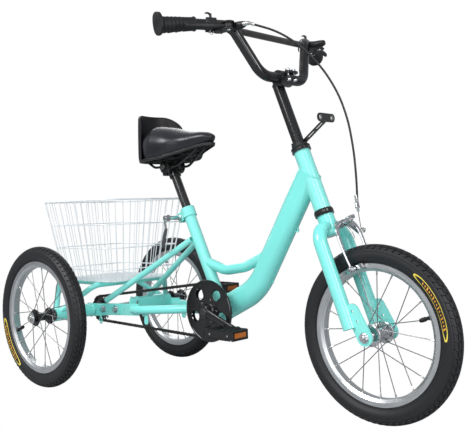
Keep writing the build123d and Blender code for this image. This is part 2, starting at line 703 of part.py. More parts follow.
def pedal(side, reach):
    """A platform pedal: two cross bars and toothed side rails about an axle sleeve."""
    centre = CRANK_CENTRE + reach + Vector(0, side * PEDAL_SIDE, 0)
    with BuildPart() as body:
        with Locations(Location(centre)):
            Box(PEDAL_LENGTH, PEDAL_WIDTH, PEDAL_HEIGHT)
        fillet(body.edges().filter_by(Axis.Y), 6)
        with Locations((centre.X - 26, centre.Y, centre.Z), (centre.X + 26, centre.Y, centre.Z)):
            Box(26, PEDAL_WIDTH - 16, PEDAL_HEIGHT + 1, mode=Mode.SUBTRACT)
        add(across(centre, centre.Y - 40, centre.Y + 40, PEDAL_AXLE + RUNNING_GAP), mode=Mode.SUBTRACT)
        with Locations((centre.X - PEDAL_LENGTH / 2, centre.Y, centre.Z)):
            Box(7, 38, 12, mode=Mode.SUBTRACT)
        with Locations((centre.X + PEDAL_LENGTH / 2, centre.Y, centre.Z)):
            Box(7, 38, 12, mode=Mode.SUBTRACT)
    return body


def pedal_reflectors(side, reach):
    """Amber blocks set in the front and back faces of a pedal."""
    centre = CRANK_CENTRE + reach + Vector(0, side * PEDAL_SIDE, 0)
    with BuildPart() as blocks:
        with Locations((centre.X - PEDAL_LENGTH / 2 + 2, centre.Y, centre.Z)):
            Box(3, 38, 12)
        with Locations((centre.X + PEDAL_LENGTH / 2 - 2, centre.Y, centre.Z)):
            Box(3, 38, 12)
    return blocks


with BuildPart() as crank_axles:
    add(crank_spindle)
    for side, reach in ((-1, pedal_reach), (1, pedal_reach * -1)):
        end = CRANK_CENTRE + reach
        outer = side * (PEDAL_SIDE + PEDAL_WIDTH / 2 - 3)
        add(across(end, side * ARM_INNER, outer, PEDAL_AXLE))

pedal_right = pedal(-1, pedal_reach)
pedal_left = pedal(1, pedal_reach * -1)
reflectors_right = pedal_reflectors(-1, pedal_reach)
reflectors_left = pedal_reflectors(1, pedal_reach * -1)

# ---------------------------------------------------------------- wheels
TYRE_SECTION = TYRE_WIDTH / 2
TYRE_WALL = 3.5
BEAD_HALF = 12.4
BEAD_WALL = 3.2
BEAD_FOOT = 153.5
BEAD_TOP = 166
RIM_WALL = 1.4
RIM_FOOT = RIM_RADIUS - RIM_DEPTH
VALVE_LENGTH = 32
FLANGE_THICKNESS = 3
SPOKE_CIRCLE = 19
SPOKE_CROSSING = 62


def ring_about(centre):
    """A plane through an axle for profiles given by radius and distance along the axle."""
    return Plane(origin=centre, x_dir=(1, 0, 0), z_dir=(0, 0, 1))


def make_tyre(centre, valve_angle):
    """An open tyre casing with its beads, and the inner tube's valve."""
    with BuildPart() as tyre:
        with BuildSketch(ring_about(centre)):
            with Locations((TYRE_RADIUS - TYRE_SECTION, 0)):
                Circle(TYRE_SECTION)
            with Locations(((BEAD_FOOT + BEAD_TOP) / 2, 0)):
                Rectangle(BEAD_TOP - BEAD_FOOT, 2 * BEAD_HALF)
            with Locations((TYRE_RADIUS - TYRE_SECTION, 0)):
                Circle(TYRE_SECTION - TYRE_WALL, mode=Mode.SUBTRACT)
            with Locations((BEAD_FOOT, 0)):
                Rectangle(2 * (BEAD_TOP - BEAD_FOOT), 2 * (BEAD_HALF - BEAD_WALL), mode=Mode.SUBTRACT)
        revolve(axis=Axis(centre, (0, 1, 0)))
        out = Vector(cos(radians(valve_angle)), 0, sin(radians(valve_angle)))
        add(rod(centre + out * (RIM_FOOT - VALVE_LENGTH), centre + out * (RIM_FOOT - 0.1), 4))
    return tyre


def make_rim(centre):
    """A single-wall channel rim."""
    half = RIM_WIDTH / 2
    shoulder = RIM_FOOT + 7
    with BuildPart() as rim:
        with BuildSketch(ring_about(centre)):
            Polygon(
                (RIM_FOOT, -half + 5), (RIM_FOOT, half - 5), (shoulder, half),
                (RIM_RADIUS, half), (RIM_RADIUS, -half), (shoulder, -half),
                align=None,
            )
            Polygon(
                (RIM_FOOT + 2, -half + 6), (RIM_FOOT + 2, half - 6), (shoulder, half - RIM_WALL),
                (RIM_RADIUS + 1, half - RIM_WALL), (RIM_RADIUS + 1, -half + RIM_WALL),
                (shoulder, -half + RIM_WALL),
                align=None,
                mode=Mode.SUBTRACT,
            )
        revolve(axis=Axis(centre, (0, 1, 0)))
    return rim


def make_hub(centre, flanges, ends, barrel, flange_radius, bore):
    """A hub shell with two spoke flanges. Distances are along the axle from the wheel centre."""
    with BuildPart() as hub:
        add(across(centre, centre.Y + ends[0], centre.Y + ends[1], barrel, bore))
        for flange in flanges:
            near = centre.Y + flange - FLANGE_THICKNESS / 2
            add(across(centre, near, near + FLANGE_THICKNESS, flange_radius, bore))
    return hub


def make_spokes(centre, flanges):
    """Spokes from alternate flanges, leaning forward and back in turn."""
    with BuildPart() as spokes:
        for count in range(SPOKE_COUNT):
            flange = flanges[count % 2]
            lean = SPOKE_CROSSING if count % 4 < 2 else -SPOKE_CROSSING
            rim_angle = radians(count * 360 / SPOKE_COUNT)
            hub_angle = rim_angle + radians(lean)
            outside = (FLANGE_THICKNESS / 2 + SPOKE_RADIUS) * (1 if flange < 0 else -1)
            low = centre + Vector(
                SPOKE_CIRCLE * cos(hub_angle), flange + outside, SPOKE_CIRCLE * sin(hub_angle)
            )
            high = centre + Vector(
                RIM_FOOT * cos(rim_angle), 3 if flange > 0 else -3, RIM_FOOT * sin(rim_angle)
            )
            add(rod(low, high, SPOKE_RADIUS))
        add(rim_of_spokes(centre), mode=Mode.SUBTRACT)
    return spokes


def rim_of_spokes(centre):
    """The rim's inner face as a solid ring, which the spokes stop at."""
    return across(centre, centre.Y - RIM_WIDTH, centre.Y + RIM_WIDTH, RIM_RADIUS, RIM_FOOT - 0.1)


FRONT_FLANGES = (-27, 27)
FRONT_HUB_HALF = 30
FRONT_AXLE_RADIUS = 5
hub_middle = (HUB_INNER + HUB_OUTER) / 2
rear_ends = (HUB_INNER - hub_middle, HUB_OUTER - hub_middle)
rear_flanges = (rear_ends[0] + 10, rear_ends[1] - 10)
right_centre = REAR_CENTRE + Vector(0, -TRACK / 2, 0)
left_centre = REAR_CENTRE + Vector(0, TRACK / 2, 0)
rear_bore = AXLE_RADIUS + RUNNING_GAP
front_bore = FRONT_AXLE_RADIUS + RUNNING_GAP

wheel_parts = {}
for name, centre, valve_angle in (("rear_right", right_centre, 200), ("rear_left", left_centre, 110)):
    wheel_parts[name + "_tyre"] = make_tyre(centre, valve_angle)
    wheel_parts[name + "_rim"] = make_rim(centre)
    wheel_parts[name + "_hub"] = make_hub(centre, rear_flanges, rear_ends, 13, 24, rear_bore)
    wheel_parts[name + "_spokes"] = make_spokes(centre, rear_flanges)
front_ends = (-FRONT_HUB_HALF, FRONT_HUB_HALF)
wheel_parts["front_tyre"] = make_tyre(FRONT_CENTRE, 20)
wheel_parts["front_rim"] = make_rim(FRONT_CENTRE)
wheel_parts["front_hub"] = make_hub(FRONT_CENTRE, FRONT_FLANGES, front_ends, 15, 24, front_bore)
wheel_parts["front_spokes"] = make_spokes(FRONT_CENTRE, FRONT_FLANGES)

# ---------------------------------------------------------------- fork
CROWN_RADIUS = 20
CROWN_FOOT = -56
CROWN_TOP = HEAD_TUBE_FOOT - CUP_HEIGHT - 0.3
STEERER_TOP = 186
STEERER_BORE = 11.2
LEG_RADIUS = 16
LEG_SIDE = 52
LEG_FOOT = -272
LEG_SHOULDER = -33
LEG_BEND = 42
DROPOUT_THICKNESS = 5
DROPOUT_TOP = (18, -238)

with BuildPart() as fork_crown:
    with BuildSketch(STEERING.offset(CROWN_FOOT)):
        Circle(CROWN_RADIUS)
    extrude(amount=CROWN_TOP - CROWN_FOOT)
    fillet(fork_crown.edges().filter_by(GeomType.CIRCLE).sort_by(STEER_AXIS)[0], 8)
    with BuildSketch(STEERING.offset(CROWN_TOP)):
        Circle(STEERER_RADIUS)
    extrude(amount=STEERER_TOP - CROWN_TOP)
    with BuildSketch(STEERING.offset(0)):
        Circle(STEERER_BORE)
    extrude(amount=STEERER_TOP, mode=Mode.SUBTRACT)

leg_route = [
    steer_at(0, 6, LEG_SHOULDER),
    steer_at(0, LEG_SIDE, LEG_SHOULDER),
    steer_at(-3, LEG_SIDE, LEG_FOOT),
]
leg_tube = bent_tube(leg_route, [LEG_BEND], LEG_RADIUS, LEG_RADIUS - 2)
front_axle_local = STEERING.to_local_coords(FRONT_CENTRE)
dropout_plane = Plane(
    origin=steer_at(0, LEG_SIDE + DROPOUT_THICKNESS / 2, 0), x_dir=STEERING.x_dir, z_dir=(0, -1, 0)
)
with BuildPart() as dropout_blank:
    with BuildSketch(dropout_plane):
        with Locations(DROPOUT_TOP):
            Circle(17)
        with Locations((front_axle_local.X, front_axle_local.Z)):
            Circle(19)
        make_hull()
        for place, radius in ((DROPOUT_TOP, 3.2), ((22, -262), 3.2)):
            with Locations(place):
                Circle(radius, mode=Mode.SUBTRACT)
        with Locations((front_axle_local.X, front_axle_local.Z)):
            Circle(front_bore, mode=Mode.SUBTRACT)
    extrude(amount=DROPOUT_THICKNESS)

with BuildPart() as fork_legs:
    add(leg_tube)
    add(dropout_blank.part)
    mirror(about=Plane.XZ)
    add(fork_crown.part, mode=Mode.SUBTRACT)

nut_seat = LEG_SIDE + DROPOUT_THICKNESS / 2
cone_seat = LEG_SIDE - DROPOUT_THICKNESS / 2
with BuildPart() as front_axle:
    add(across(FRONT_CENTRE, -nut_seat - 11, nut_seat + 11, FRONT_AXLE_RADIUS))
    for near, far, radius in (
        (FRONT_HUB_HALF + 0.4, cone_seat, 8),
        (-cone_seat, -FRONT_HUB_HALF - 0.4, 8),
    ):
        add(across(FRONT_CENTRE, near, far, radius))
    for side in (-1, 1):
        face = FRONT_CENTRE + Vector(0, side * nut_seat, 0)
        with BuildSketch(Plane(origin=face, z_dir=(0, side, 0))):
            RegularPolygon(9, 6)
        extrude(amount=7)

# ---------------------------------------------------------------- headset nuts and front bracket
NUT_FOOT = HEAD_TUBE_TOP + CUP_HEIGHT + 0.3
NUT_SPLIT = 179
BRACKET_SHEET = 2.5
BRACKET_REACH = 95
BRACKET_RISE = 20
BRACKET_ARM = 18
BRACKET_PLATE = 66
BRACKET_PLATE_TALL = 20
BRACKET_HOLES = 44
BRACKET_HOLE_RADIUS = 3.25

with BuildPart() as headset_nuts:
    with BuildSketch(STEERING.offset(NUT_FOOT)):
        Circle(20)
        Circle(STEERER_RADIUS, mode=Mode.SUBTRACT)
    extrude(amount=NUT_SPLIT - NUT_FOOT)
    with BuildSketch(STEERING.offset(NUT_SPLIT + BRACKET_SHEET)):
        RegularPolygon(20, 6)
        Circle(STEERER_RADIUS, mode=Mode.SUBTRACT)
    extrude(amount=STEERER_TOP - NUT_SPLIT - BRACKET_SHEET)

arm_start = steer_at(16, 0, NUT_SPLIT + BRACKET_SHEET / 2)
arm_end = steer_at(BRACKET_REACH, 0, NUT_SPLIT + BRACKET_RISE)
arm_run = arm_end - arm_start
arm_plane = Plane(origin=(arm_start + arm_end) / 2, x_dir=arm_run, z_dir=arm_run.cross(Vector(0, 1, 0)))
plate_centre = arm_end + Vector(0, 0, 3)
with BuildPart() as accessory_bracket:
    with BuildSketch(STEERING.offset(NUT_SPLIT)):
        Circle(19)
        Circle(STEERER_RADIUS, mode=Mode.SUBTRACT)
    extrude(amount=BRACKET_SHEET)
    with BuildSketch(arm_plane):
        Rectangle(arm_run.length, BRACKET_ARM)
        with Locations((-14, 0), (16, 0)):
            SlotOverall(24, 7, mode=Mode.SUBTRACT)
    extrude(amount=BRACKET_SHEET / 2, both=True)
    with BuildSketch(Plane(origin=plate_centre, x_dir=(0, 1, 0), z_dir=(1, 0, 0))):
        SlotOverall(BRACKET_PLATE, BRACKET_PLATE_TALL)
        with Locations((-BRACKET_HOLES / 2, 0), (BRACKET_HOLES / 2, 0)):
            Circle(BRACKET_HOLE_RADIUS, mode=Mode.SUBTRACT)
    extrude(amount=BRACKET_SHEET / 2, both=True)
    with Locations(STEERING.offset(NUT_SPLIT - 5)):
        Cylinder(STEERER_RADIUS, 40, mode=Mode.SUBTRACT)
    add(headset_nuts.part, mode=Mode.SUBTRACT)

# ---------------------------------------------------------------- handlebar
BAR_CLAMP = (705, 800)
BAR_BENDS = [60, 40, 45, 45, 40, 60]
CROSSBAR_RADIUS = 8
CROSSBAR_HEIGHT = 905
GRIP_LENGTH = 94
GRIP_END = BAR_WIDTH / 2 - 10.4
half_route = [
    at(BAR_CLAMP[0], 78, BAR_CLAMP[1]),
    at(667, 138, 914),
    at(612, 205, 919),
    at(586, GRIP_END, BAR_HEIGHT),
]
bar_route = [Vector(p.X, -p.Y, p.Z) for p in reversed(half_route)] + half_route
bar_tube = bent_tube(bar_route, BAR_BENDS, BAR_RADIUS)
bar_bore = bent_tube(bar_route, BAR_BENDS, BAR_RADIUS - 2)

with BuildPart() as handlebar:
    add(bar_tube)
    add(rod(at(670, -132, CROSSBAR_HEIGHT), at(670, 132, CROSSBAR_HEIGHT), CROSSBAR_RADIUS))
    add(bar_bore, mode=Mode.SUBTRACT)

grip_along = (half_route[3] - half_route[2]).normalized()
grip_start = half_route[3] + grip_along * (3 - GRIP_LENGTH)
with BuildPart() as grips:
    with BuildSketch(Plane(origin=grip_start, z_dir=grip_along)):
        Circle(16)
    with BuildSketch(Plane(origin=grip_start + grip_along * (GRIP_LENGTH - 6), z_dir=grip_along)):
        Circle(18.5)
    loft()
    with BuildSketch(Plane(origin=grip_start + grip_along * (GRIP_LENGTH - 6), z_dir=grip_along)):
        Circle(26)
    extrude(amount=6)
    fillet(grips.edges().filter_by(GeomType.CIRCLE).group_by(SortBy.RADIUS)[-1], 2)
    mirror(about=Plane.XZ)
    add(bar_tube, mode=Mode.SUBTRACT)

# ---------------------------------------------------------------- stem
STEM_RADIUS = 14
QUILL_RADIUS = 11.1
STEM_CLAMP_RADIUS = 19
STEM_CLAMP_HALF = 22
clamp_middle = at(BAR_CLAMP[0], 0, BAR_CLAMP[1])

with BuildPart() as stem:
    with BuildSketch(STEERING.offset(STEERER_TOP - 70)):
        Circle(QUILL_RADIUS)
    extrude(amount=70)
    with BuildSketch(STEERING.offset(STEERER_TOP)):
        Circle(STEM_RADIUS)
    extrude(amount=STEM_RISE - STEERER_TOP)
    fillet(stem.edges().filter_by(GeomType.CIRCLE).sort_by(STEER_AXIS)[-1], 4)
    add(across(clamp_middle, -STEM_CLAMP_HALF, STEM_CLAMP_HALF, STEM_CLAMP_RADIUS))
    add(bar_tube, mode=Mode.SUBTRACT)

# ---------------------------------------------------------------- brake levers
perch_ring = at(637, 174.5, 916.7)
perch_along = (half_route[2] - half_route[1]).normalized()
perch_nose = at(716, 152, 906)
perch_mirror_nose = at(716, -152, 906)
lever_pivot = at(690, 162, 906)
lever_route = [at(684, 172, 906), at(662, 208, 906), at(644, 262, 902)]
LEVER_RADIUS = 5
LEVER_SLOT_RADIUS = 17
LEVER_SLOT_HEIGHT = 10.8

with BuildPart() as lever_perches:
    add(rod(perch_ring - perch_along * 12, perch_ring + perch_along * 12, 17))
    add(rod(perch_ring + Vector(14, -2, -4), perch_nose, 9))
    with Locations(Plane(origin=at(640, 178, 914), z_dir=(0, 0, 1))):
        Cylinder(3, 62)
    with Locations(Plane(origin=at(640, 178, 944), z_dir=(0, 0, 1))):
        Sphere(5)
    with Locations(Plane(origin=lever_pivot + Vector(0, 8, 0), z_dir=(0, 0, 1))):
        Cylinder(LEVER_SLOT_RADIUS, LEVER_SLOT_HEIGHT, mode=Mode.SUBTRACT)
        Cylinder(5, 24)
    mirror(about=Plane.XZ)
    add(bar_tube, mode=Mode.SUBTRACT)

lever_blade = bent_tube(lever_route, [60], LEVER_RADIUS)
pivot_place = lever_pivot + Vector(0, 8, 0)


def brake_lever(side):
    """A blade in front of a grip, with an eye about its pivot."""
    with BuildPart() as lever:
        add(lever_blade)
        with Locations(Plane(origin=pivot_place, z_dir=(0, 0, 1))):
            Cylinder(10, 10)
            Cylinder(5 + RUNNING_GAP, 24, mode=Mode.SUBTRACT)
        if side < 0:
            mirror(about=Plane.XZ, mode=Mode.REPLACE)
    return lever


brake_lever_left = brake_lever(1)
brake_lever_right = brake_lever(-1)

# ---------------------------------------------------------------- brake caliper
CALIPER_PIVOT = -40
CALIPER_BOLT = 4
ARM_SHEET = 7
ARM_HALF = 5.5
SHOE_AHEAD = 42
SHOE_FOOT = -150
PAD_GAP = 2
SHOE_ARM_SIDE = 31
PAD_THICKNESS = 8
RIGHT_ARM_AHEAD = 37
LEFT_ARM_AHEAD = 47
CABLE_PLACE = at(885, 35, 482)
ANCHOR_PLACE = at(886, 46, 427)


def link_run(ahead, places, radius):
    """A flat bar of round-ended links across the steering plane, from place to place."""
    with BuildPart() as bar:
        for first, second in zip(places, places[1:]):
            plane = Plane(origin=steer_at(ahead, 0, 0), x_dir=(0, 1, 0), z_dir=STEERING.x_dir)
            with BuildSketch(plane):
                with Locations(first, second):
                    Circle(radius)
                make_hull()
            extrude(amount=ARM_SHEET)
    return bar.part


pad_inner = RIM_WIDTH / 2 + PAD_GAP
pad_middle = pad_inner + PAD_THICKNESS / 2
wire_run = rod(CABLE_PLACE + Vector(0, 0, 30), ANCHOR_PLACE - Vector(0, 0, 30), 2.2)
stud_bore = CALIPER_BOLT + RUNNING_GAP
caliper_stud = rod(steer_at(12, 0, CALIPER_PIVOT), steer_at(72, 0, CALIPER_PIVOT), stud_bore)


def caliper_arm(side, ahead, cable_places):
    """One arm: from its brake shoe up over the tyre to the pivot, then out to the cable."""
    shoe_places = [
        (0, CALIPER_PIVOT),
        (side * 24, -48),
        (side * 36, -68),
        (side * 36, -112),
        (side * SHOE_ARM_SIDE, SHOE_FOOT),
    ]
    lower = link_run(ahead, shoe_places, ARM_HALF)
    upper = link_run(ahead, cable_places, ARM_HALF)
    with BuildPart() as arm:
        add(lower)
        add(upper)
        add(caliper_stud, mode=Mode.SUBTRACT)
        add(wire_run, mode=Mode.SUBTRACT)
        add(shoe_stud(side, ahead), mode=Mode.SUBTRACT)
    return arm


def shoe_stud(side, ahead):
    """The bolt that holds a shoe in its arm."""
    start = steer_at(ahead + ARM_SHEET / 2, side * (pad_middle + PAD_THICKNESS / 2 - 1), SHOE_FOOT)
    end = steer_at(ahead + ARM_SHEET / 2, side * (SHOE_ARM_SIDE + ARM_HALF + 4), SHOE_FOOT)
    return rod(start, end, 2.5)


def brake_shoe(side, ahead):
    """A rubber block beside the rim, on its stud."""
    pad_frame = Plane(
        origin=steer_at(SHOE_AHEAD, side * pad_middle, SHOE_FOOT),
        x_dir=STEERING.x_dir,
        z_dir=STEERING.z_dir,
    )
    with BuildPart() as shoe:
        with Locations(pad_frame):
            Box(44, PAD_THICKNESS, 10)
        add(shoe_stud(side, ahead))
    return shoe


caliper_arm_right = caliper_arm(-1, RIGHT_ARM_AHEAD, [(0, CALIPER_PIVOT), (26, -50), (47, -65)])
caliper_arm_left = caliper_arm(1, LEFT_ARM_AHEAD, [(0, CALIPER_PIVOT), (20, -32), (36, -28)])
brake_shoe_right = brake_shoe(-1, RIGHT_ARM_AHEAD)
brake_shoe_left = brake_shoe(1, LEFT_ARM_AHEAD)

# ---------------------------------------------------------------- brake cable
CABLE_RADIUS = 2.5
WIRE_RADIUS = 0.8
cable_route = [
    at(734, -150, 906),
    at(776, -96, 887),
    at(812, -49, 848),
    at(840, -12, 796),
    at(862, 10, 740),
    at(877, 21, 680),
    at(884, 29, 610),
    at(886, 33, 545),
    CABLE_PLACE,
]


def open_bends(points):
    """The largest comfortable bend at each corner of a route, from its runs and its turn."""
    bends = []
    for before, corner, after in zip(points, points[1:], points[2:]):
        arriving = corner - before
        leaving = after - corner
        half_turn = radians(arriving.get_angle(leaving) / 2)
        reach = 0.45 * min(arriving.length, leaving.length)
        bends.append(reach * cos(half_turn) / sin(half_turn))
    return bends


cable_bends = open_bends(cable_route)
with BuildPart() as brake_cable:
    add(bent_tube(cable_route, cable_bends, CABLE_RADIUS))
    add(rod(CABLE_PLACE, ANCHOR_PLACE, WIRE_RADIUS))

with BuildPart() as steering_bolts:
    add(rod(steer_at(CROWN_RADIUS, 0, CALIPER_PIVOT), steer_at(66, 0, CALIPER_PIVOT), CALIPER_BOLT))
    add(rod(steer_at(56, 0, CALIPER_PIVOT), steer_at(62, 0, CALIPER_PIVOT), 7))
    add(rod(perch_mirror_nose, cable_route[0], 4.5))
    add(lever_perches.part, mode=Mode.SUBTRACT)
    add(brake_cable.part, mode=Mode.SUBTRACT)

# ---------------------------------------------------------------- written parts
sub_parts = {
    "head_tube": head_tube,
    "headset_cups": headset_cups,
    "main_tube": main_tube,
    "seat_tube": seat_tube,
    "cross_tube": cross_tube,
    "bottom_bracket_shell": bottom_bracket_shell,
    "chainstays": chainstays,
    "seatstays": seatstays,
    "axle_plates": axle_plates,
    "axle_housings": axle_housings,
    "bearings": bearings,
    "frame_bolts": frame_bolts,
    "rack": rack,
    "basket": basket,
    "seat_collar": seat_collar,
    "quick_release_lever": quick_release_lever,
    "seat_post": seat_post,
    "saddle_cover": saddle_cover,
    "saddle_base": saddle_base,
    "saddle_clamp_and_rails": saddle_clamp_and_rails,
    "backrest": backrest,
    "chain": chain,
    "rear_sprocket": rear_sprocket,
    "rear_axle": rear_axle,
    "crank_axles": crank_axles,
    "crank_arms": crank_arms,
    "chainring": chainring,
    "pedal_right": pedal_right,
    "pedal_left": pedal_left,
    "reflectors_right": reflectors_right,
    "reflectors_left": reflectors_left,
    "fork_crown": fork_crown,
    "fork_legs": fork_legs,
    "front_axle": front_axle,
    "headset_nuts": headset_nuts,
    "accessory_bracket": accessory_bracket,
    "stem": stem,
    "handlebar": handlebar,
    "grips": grips,
    "lever_perches": lever_perches,
    "brake_lever_right": brake_lever_right,
    "brake_lever_left": brake_lever_left,
    "caliper_arm_right": caliper_arm_right,
    "caliper_arm_left": caliper_arm_left,
    "brake_shoe_right": brake_shoe_right,
    "brake_shoe_left": brake_shoe_left,
    "brake_cable": brake_cable,
    "steering_bolts": steering_bolts,
}
for label, sub_part in {**sub_parts, **wheel_parts}.items():
    save(sub_part, label)
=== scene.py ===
"""Looks of the pedal tricycle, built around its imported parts.

Lengths in the dataclasses are millimetres, as a maker states them. Layout turns them into
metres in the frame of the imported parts.
"""

import json
import logging
import math
from dataclasses import dataclass, field
from enum import Enum
from typing import Callable, Iterable, Sequence

import bpy
import bmesh
from mathutils import Matrix, Vector

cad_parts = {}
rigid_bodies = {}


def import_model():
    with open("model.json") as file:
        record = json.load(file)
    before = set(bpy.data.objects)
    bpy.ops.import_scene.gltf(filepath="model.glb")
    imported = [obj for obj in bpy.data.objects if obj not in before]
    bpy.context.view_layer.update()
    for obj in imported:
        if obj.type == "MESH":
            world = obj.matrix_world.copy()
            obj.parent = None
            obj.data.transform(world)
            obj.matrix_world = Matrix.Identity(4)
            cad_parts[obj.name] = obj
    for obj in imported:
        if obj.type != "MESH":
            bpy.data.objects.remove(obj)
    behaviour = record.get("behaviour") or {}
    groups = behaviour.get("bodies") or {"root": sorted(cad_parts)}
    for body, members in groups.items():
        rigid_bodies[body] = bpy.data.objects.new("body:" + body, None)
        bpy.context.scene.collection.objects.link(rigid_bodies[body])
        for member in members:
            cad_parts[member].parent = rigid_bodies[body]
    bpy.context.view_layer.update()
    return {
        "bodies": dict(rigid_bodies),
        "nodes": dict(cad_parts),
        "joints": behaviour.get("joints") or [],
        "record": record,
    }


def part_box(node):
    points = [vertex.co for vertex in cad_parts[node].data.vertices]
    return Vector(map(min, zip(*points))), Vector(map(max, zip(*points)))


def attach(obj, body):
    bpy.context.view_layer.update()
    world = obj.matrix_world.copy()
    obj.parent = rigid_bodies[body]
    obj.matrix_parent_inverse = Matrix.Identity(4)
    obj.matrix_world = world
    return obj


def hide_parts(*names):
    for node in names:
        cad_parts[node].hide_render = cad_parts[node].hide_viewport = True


LOG = logging.getLogger("tricycle")
MM = 0.001
TURN = 2 * math.pi
NOISE_SPREAD = (0.3, 0.7)
EDGE_SPREAD = (0.54, 0.62)
HOLLOW_SPREAD = (0.49, 0.42)
CLOUD_SCALE = 14.0
Outline = Callable[[float], list[tuple[float, float]]]


class Side(Enum):
    """A side of the machine, as the sign of its distance to the left."""

    RIGHT = -1
    LEFT = 1


class Slot(Enum):
    """The record's material slots."""

    MINT = "mint_paint"
    BLACK = "black_paint"
    CHROME = "chrome"
    STEEL = "steel"
    TYRE = "tyre"
    RUBBER = "rubber"
    PLASTIC = "black_plastic"
    VINYL = "vinyl"
    BASKET = "basket_coating"


# ------------------------------------------------------------------ places
@dataclass
class Layout:
    """Places on the machine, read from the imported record's joints."""

    frame: dict

    def __post_init__(self) -> None:
        """Find the joints that the other places are counted from."""
        self.joints = {joint["name"]: joint for joint in self.frame["joints"]}
        self.rear = self.pivot("rear_wheel_right_spin")
        self.front = self.pivot("front_wheel_spin")
        self.crank = self.pivot("crank_spin")
        self.head = self.pivot("steering")
        self.head_up = self.axis("steering")
        self.head_ahead = Vector((self.head_up.z, 0, -self.head_up.x))

    def pivot(self, joint: str) -> Vector:
        """The joint's place in metres."""
        return Vector(self.joints[joint]["pos_m"])

    def axis(self, joint: str) -> Vector:
        """The joint's axis."""
        return Vector(self.joints[joint]["axis"]).normalized()

    def at(self, forward: float, side: float, up: float) -> Vector:
        """A place forward of the rear axle, to the left and above the ground."""
        return Vector((self.rear.x + forward * MM, side * MM, up * MM))

    def steer(self, ahead: float, side: float, up: float) -> Vector:
        """A place ahead of, beside and up along the steering axis."""
        return self.head + self.head_ahead * ahead * MM + Vector((0, side * MM, 0)) + self.head_up * up * MM


# ------------------------------------------------------------------ outlines and paths
def circle(radius: float, count: int = 16) -> Outline:
    """A round outline that draws in by an inset."""

    def points(inset: float) -> list[tuple[float, float]]:
        """Points of the outline."""
        reach = radius - inset
        return [(reach * math.cos(TURN * i / count),
                 reach * math.sin(TURN * i / count)) for i in range(count)]

    return points


def rounded(half_x: float, half_y: float, corner: float, count: int = 4) -> Outline:
    """A rectangle with round corners that draws in by an inset."""

    def points(inset: float) -> list[tuple[float, float]]:
        """Points of the outline, corner by corner."""
        radius = max(corner - inset, 0.05)
        flat_x, flat_y = half_x - inset - radius, half_y - inset - radius
        result = []
        for quarter, (sign_x, sign_y) in enumerate(((1, 1), (-1, 1), (-1, -1), (1, -1))):
            for step in range(count + 1):
                angle = math.pi / 2 * (quarter + step / count)
                x = sign_x * flat_x + radius * math.cos(angle)
                result.append((x, sign_y * flat_y + radius * math.sin(angle)))
        return result

    return points


def link(length: float, near: float, far: float, waist: float = 1.0, count: int = 8) -> Outline:
    """A bar with two round ends, the first about the origin, drawn in at the waist."""

    def points(inset: float) -> list[tuple[float, float]]:
        """Points of the outline."""
        a, b = near - inset, far - inset
        result = [
            (length + b * math.cos(t), b * math.sin(t))
            for t in (-math.pi / 2 + math.pi * i / count for i in range(count + 1))
        ]
        middle = (a + b) / 2 * waist
        result.append((length / 2, middle))
        result += [
            (a * math.cos(t),
             a * math.sin(t)) for t in (math.pi / 2 + math.pi * i / count for i in range(count + 1))
        ]
        result.append((length / 2, -middle))
        return result

    return points


def smooth(points: Sequence[Vector], steps: int = 8) -> list[Vector]:
    """A smooth path through every given point."""
    ends = [points[0] * 2 - points[1], *points, points[-1] * 2 - points[-2]]
    result = []
    for a, b, c, d in zip(ends, ends[1:], ends[2:], ends[3:]):
        for step in range(steps):
            t = step / steps
            square = (a * 2 - b * 5 + c * 4 - d) * t**2
            cube = (b * 3 - a - c * 3 + d) * t**3
            result.append((b * 2 + (c - a) * t + square + cube) / 2)
    return [*result, points[-1].copy()]


def between(values: Sequence[float], count: int) -> list[float]:
    """Values spread evenly over a path of count points, by straight interpolation."""
    result = []
    for i in range(count):
        place = i / (count - 1) * (len(values) - 1)
        low = min(int(place), len(values) - 2)
        result.append(values[low] + (values[low + 1] - values[low]) * (place - low))
    return result


def ease(value: float, low: float, high: float) -> float:
    """A smooth step from 0 at low to 1 at high."""
    t = min(max((value - low) / (high - low), 0), 1)
    return t * t * (3 - 2 * t)


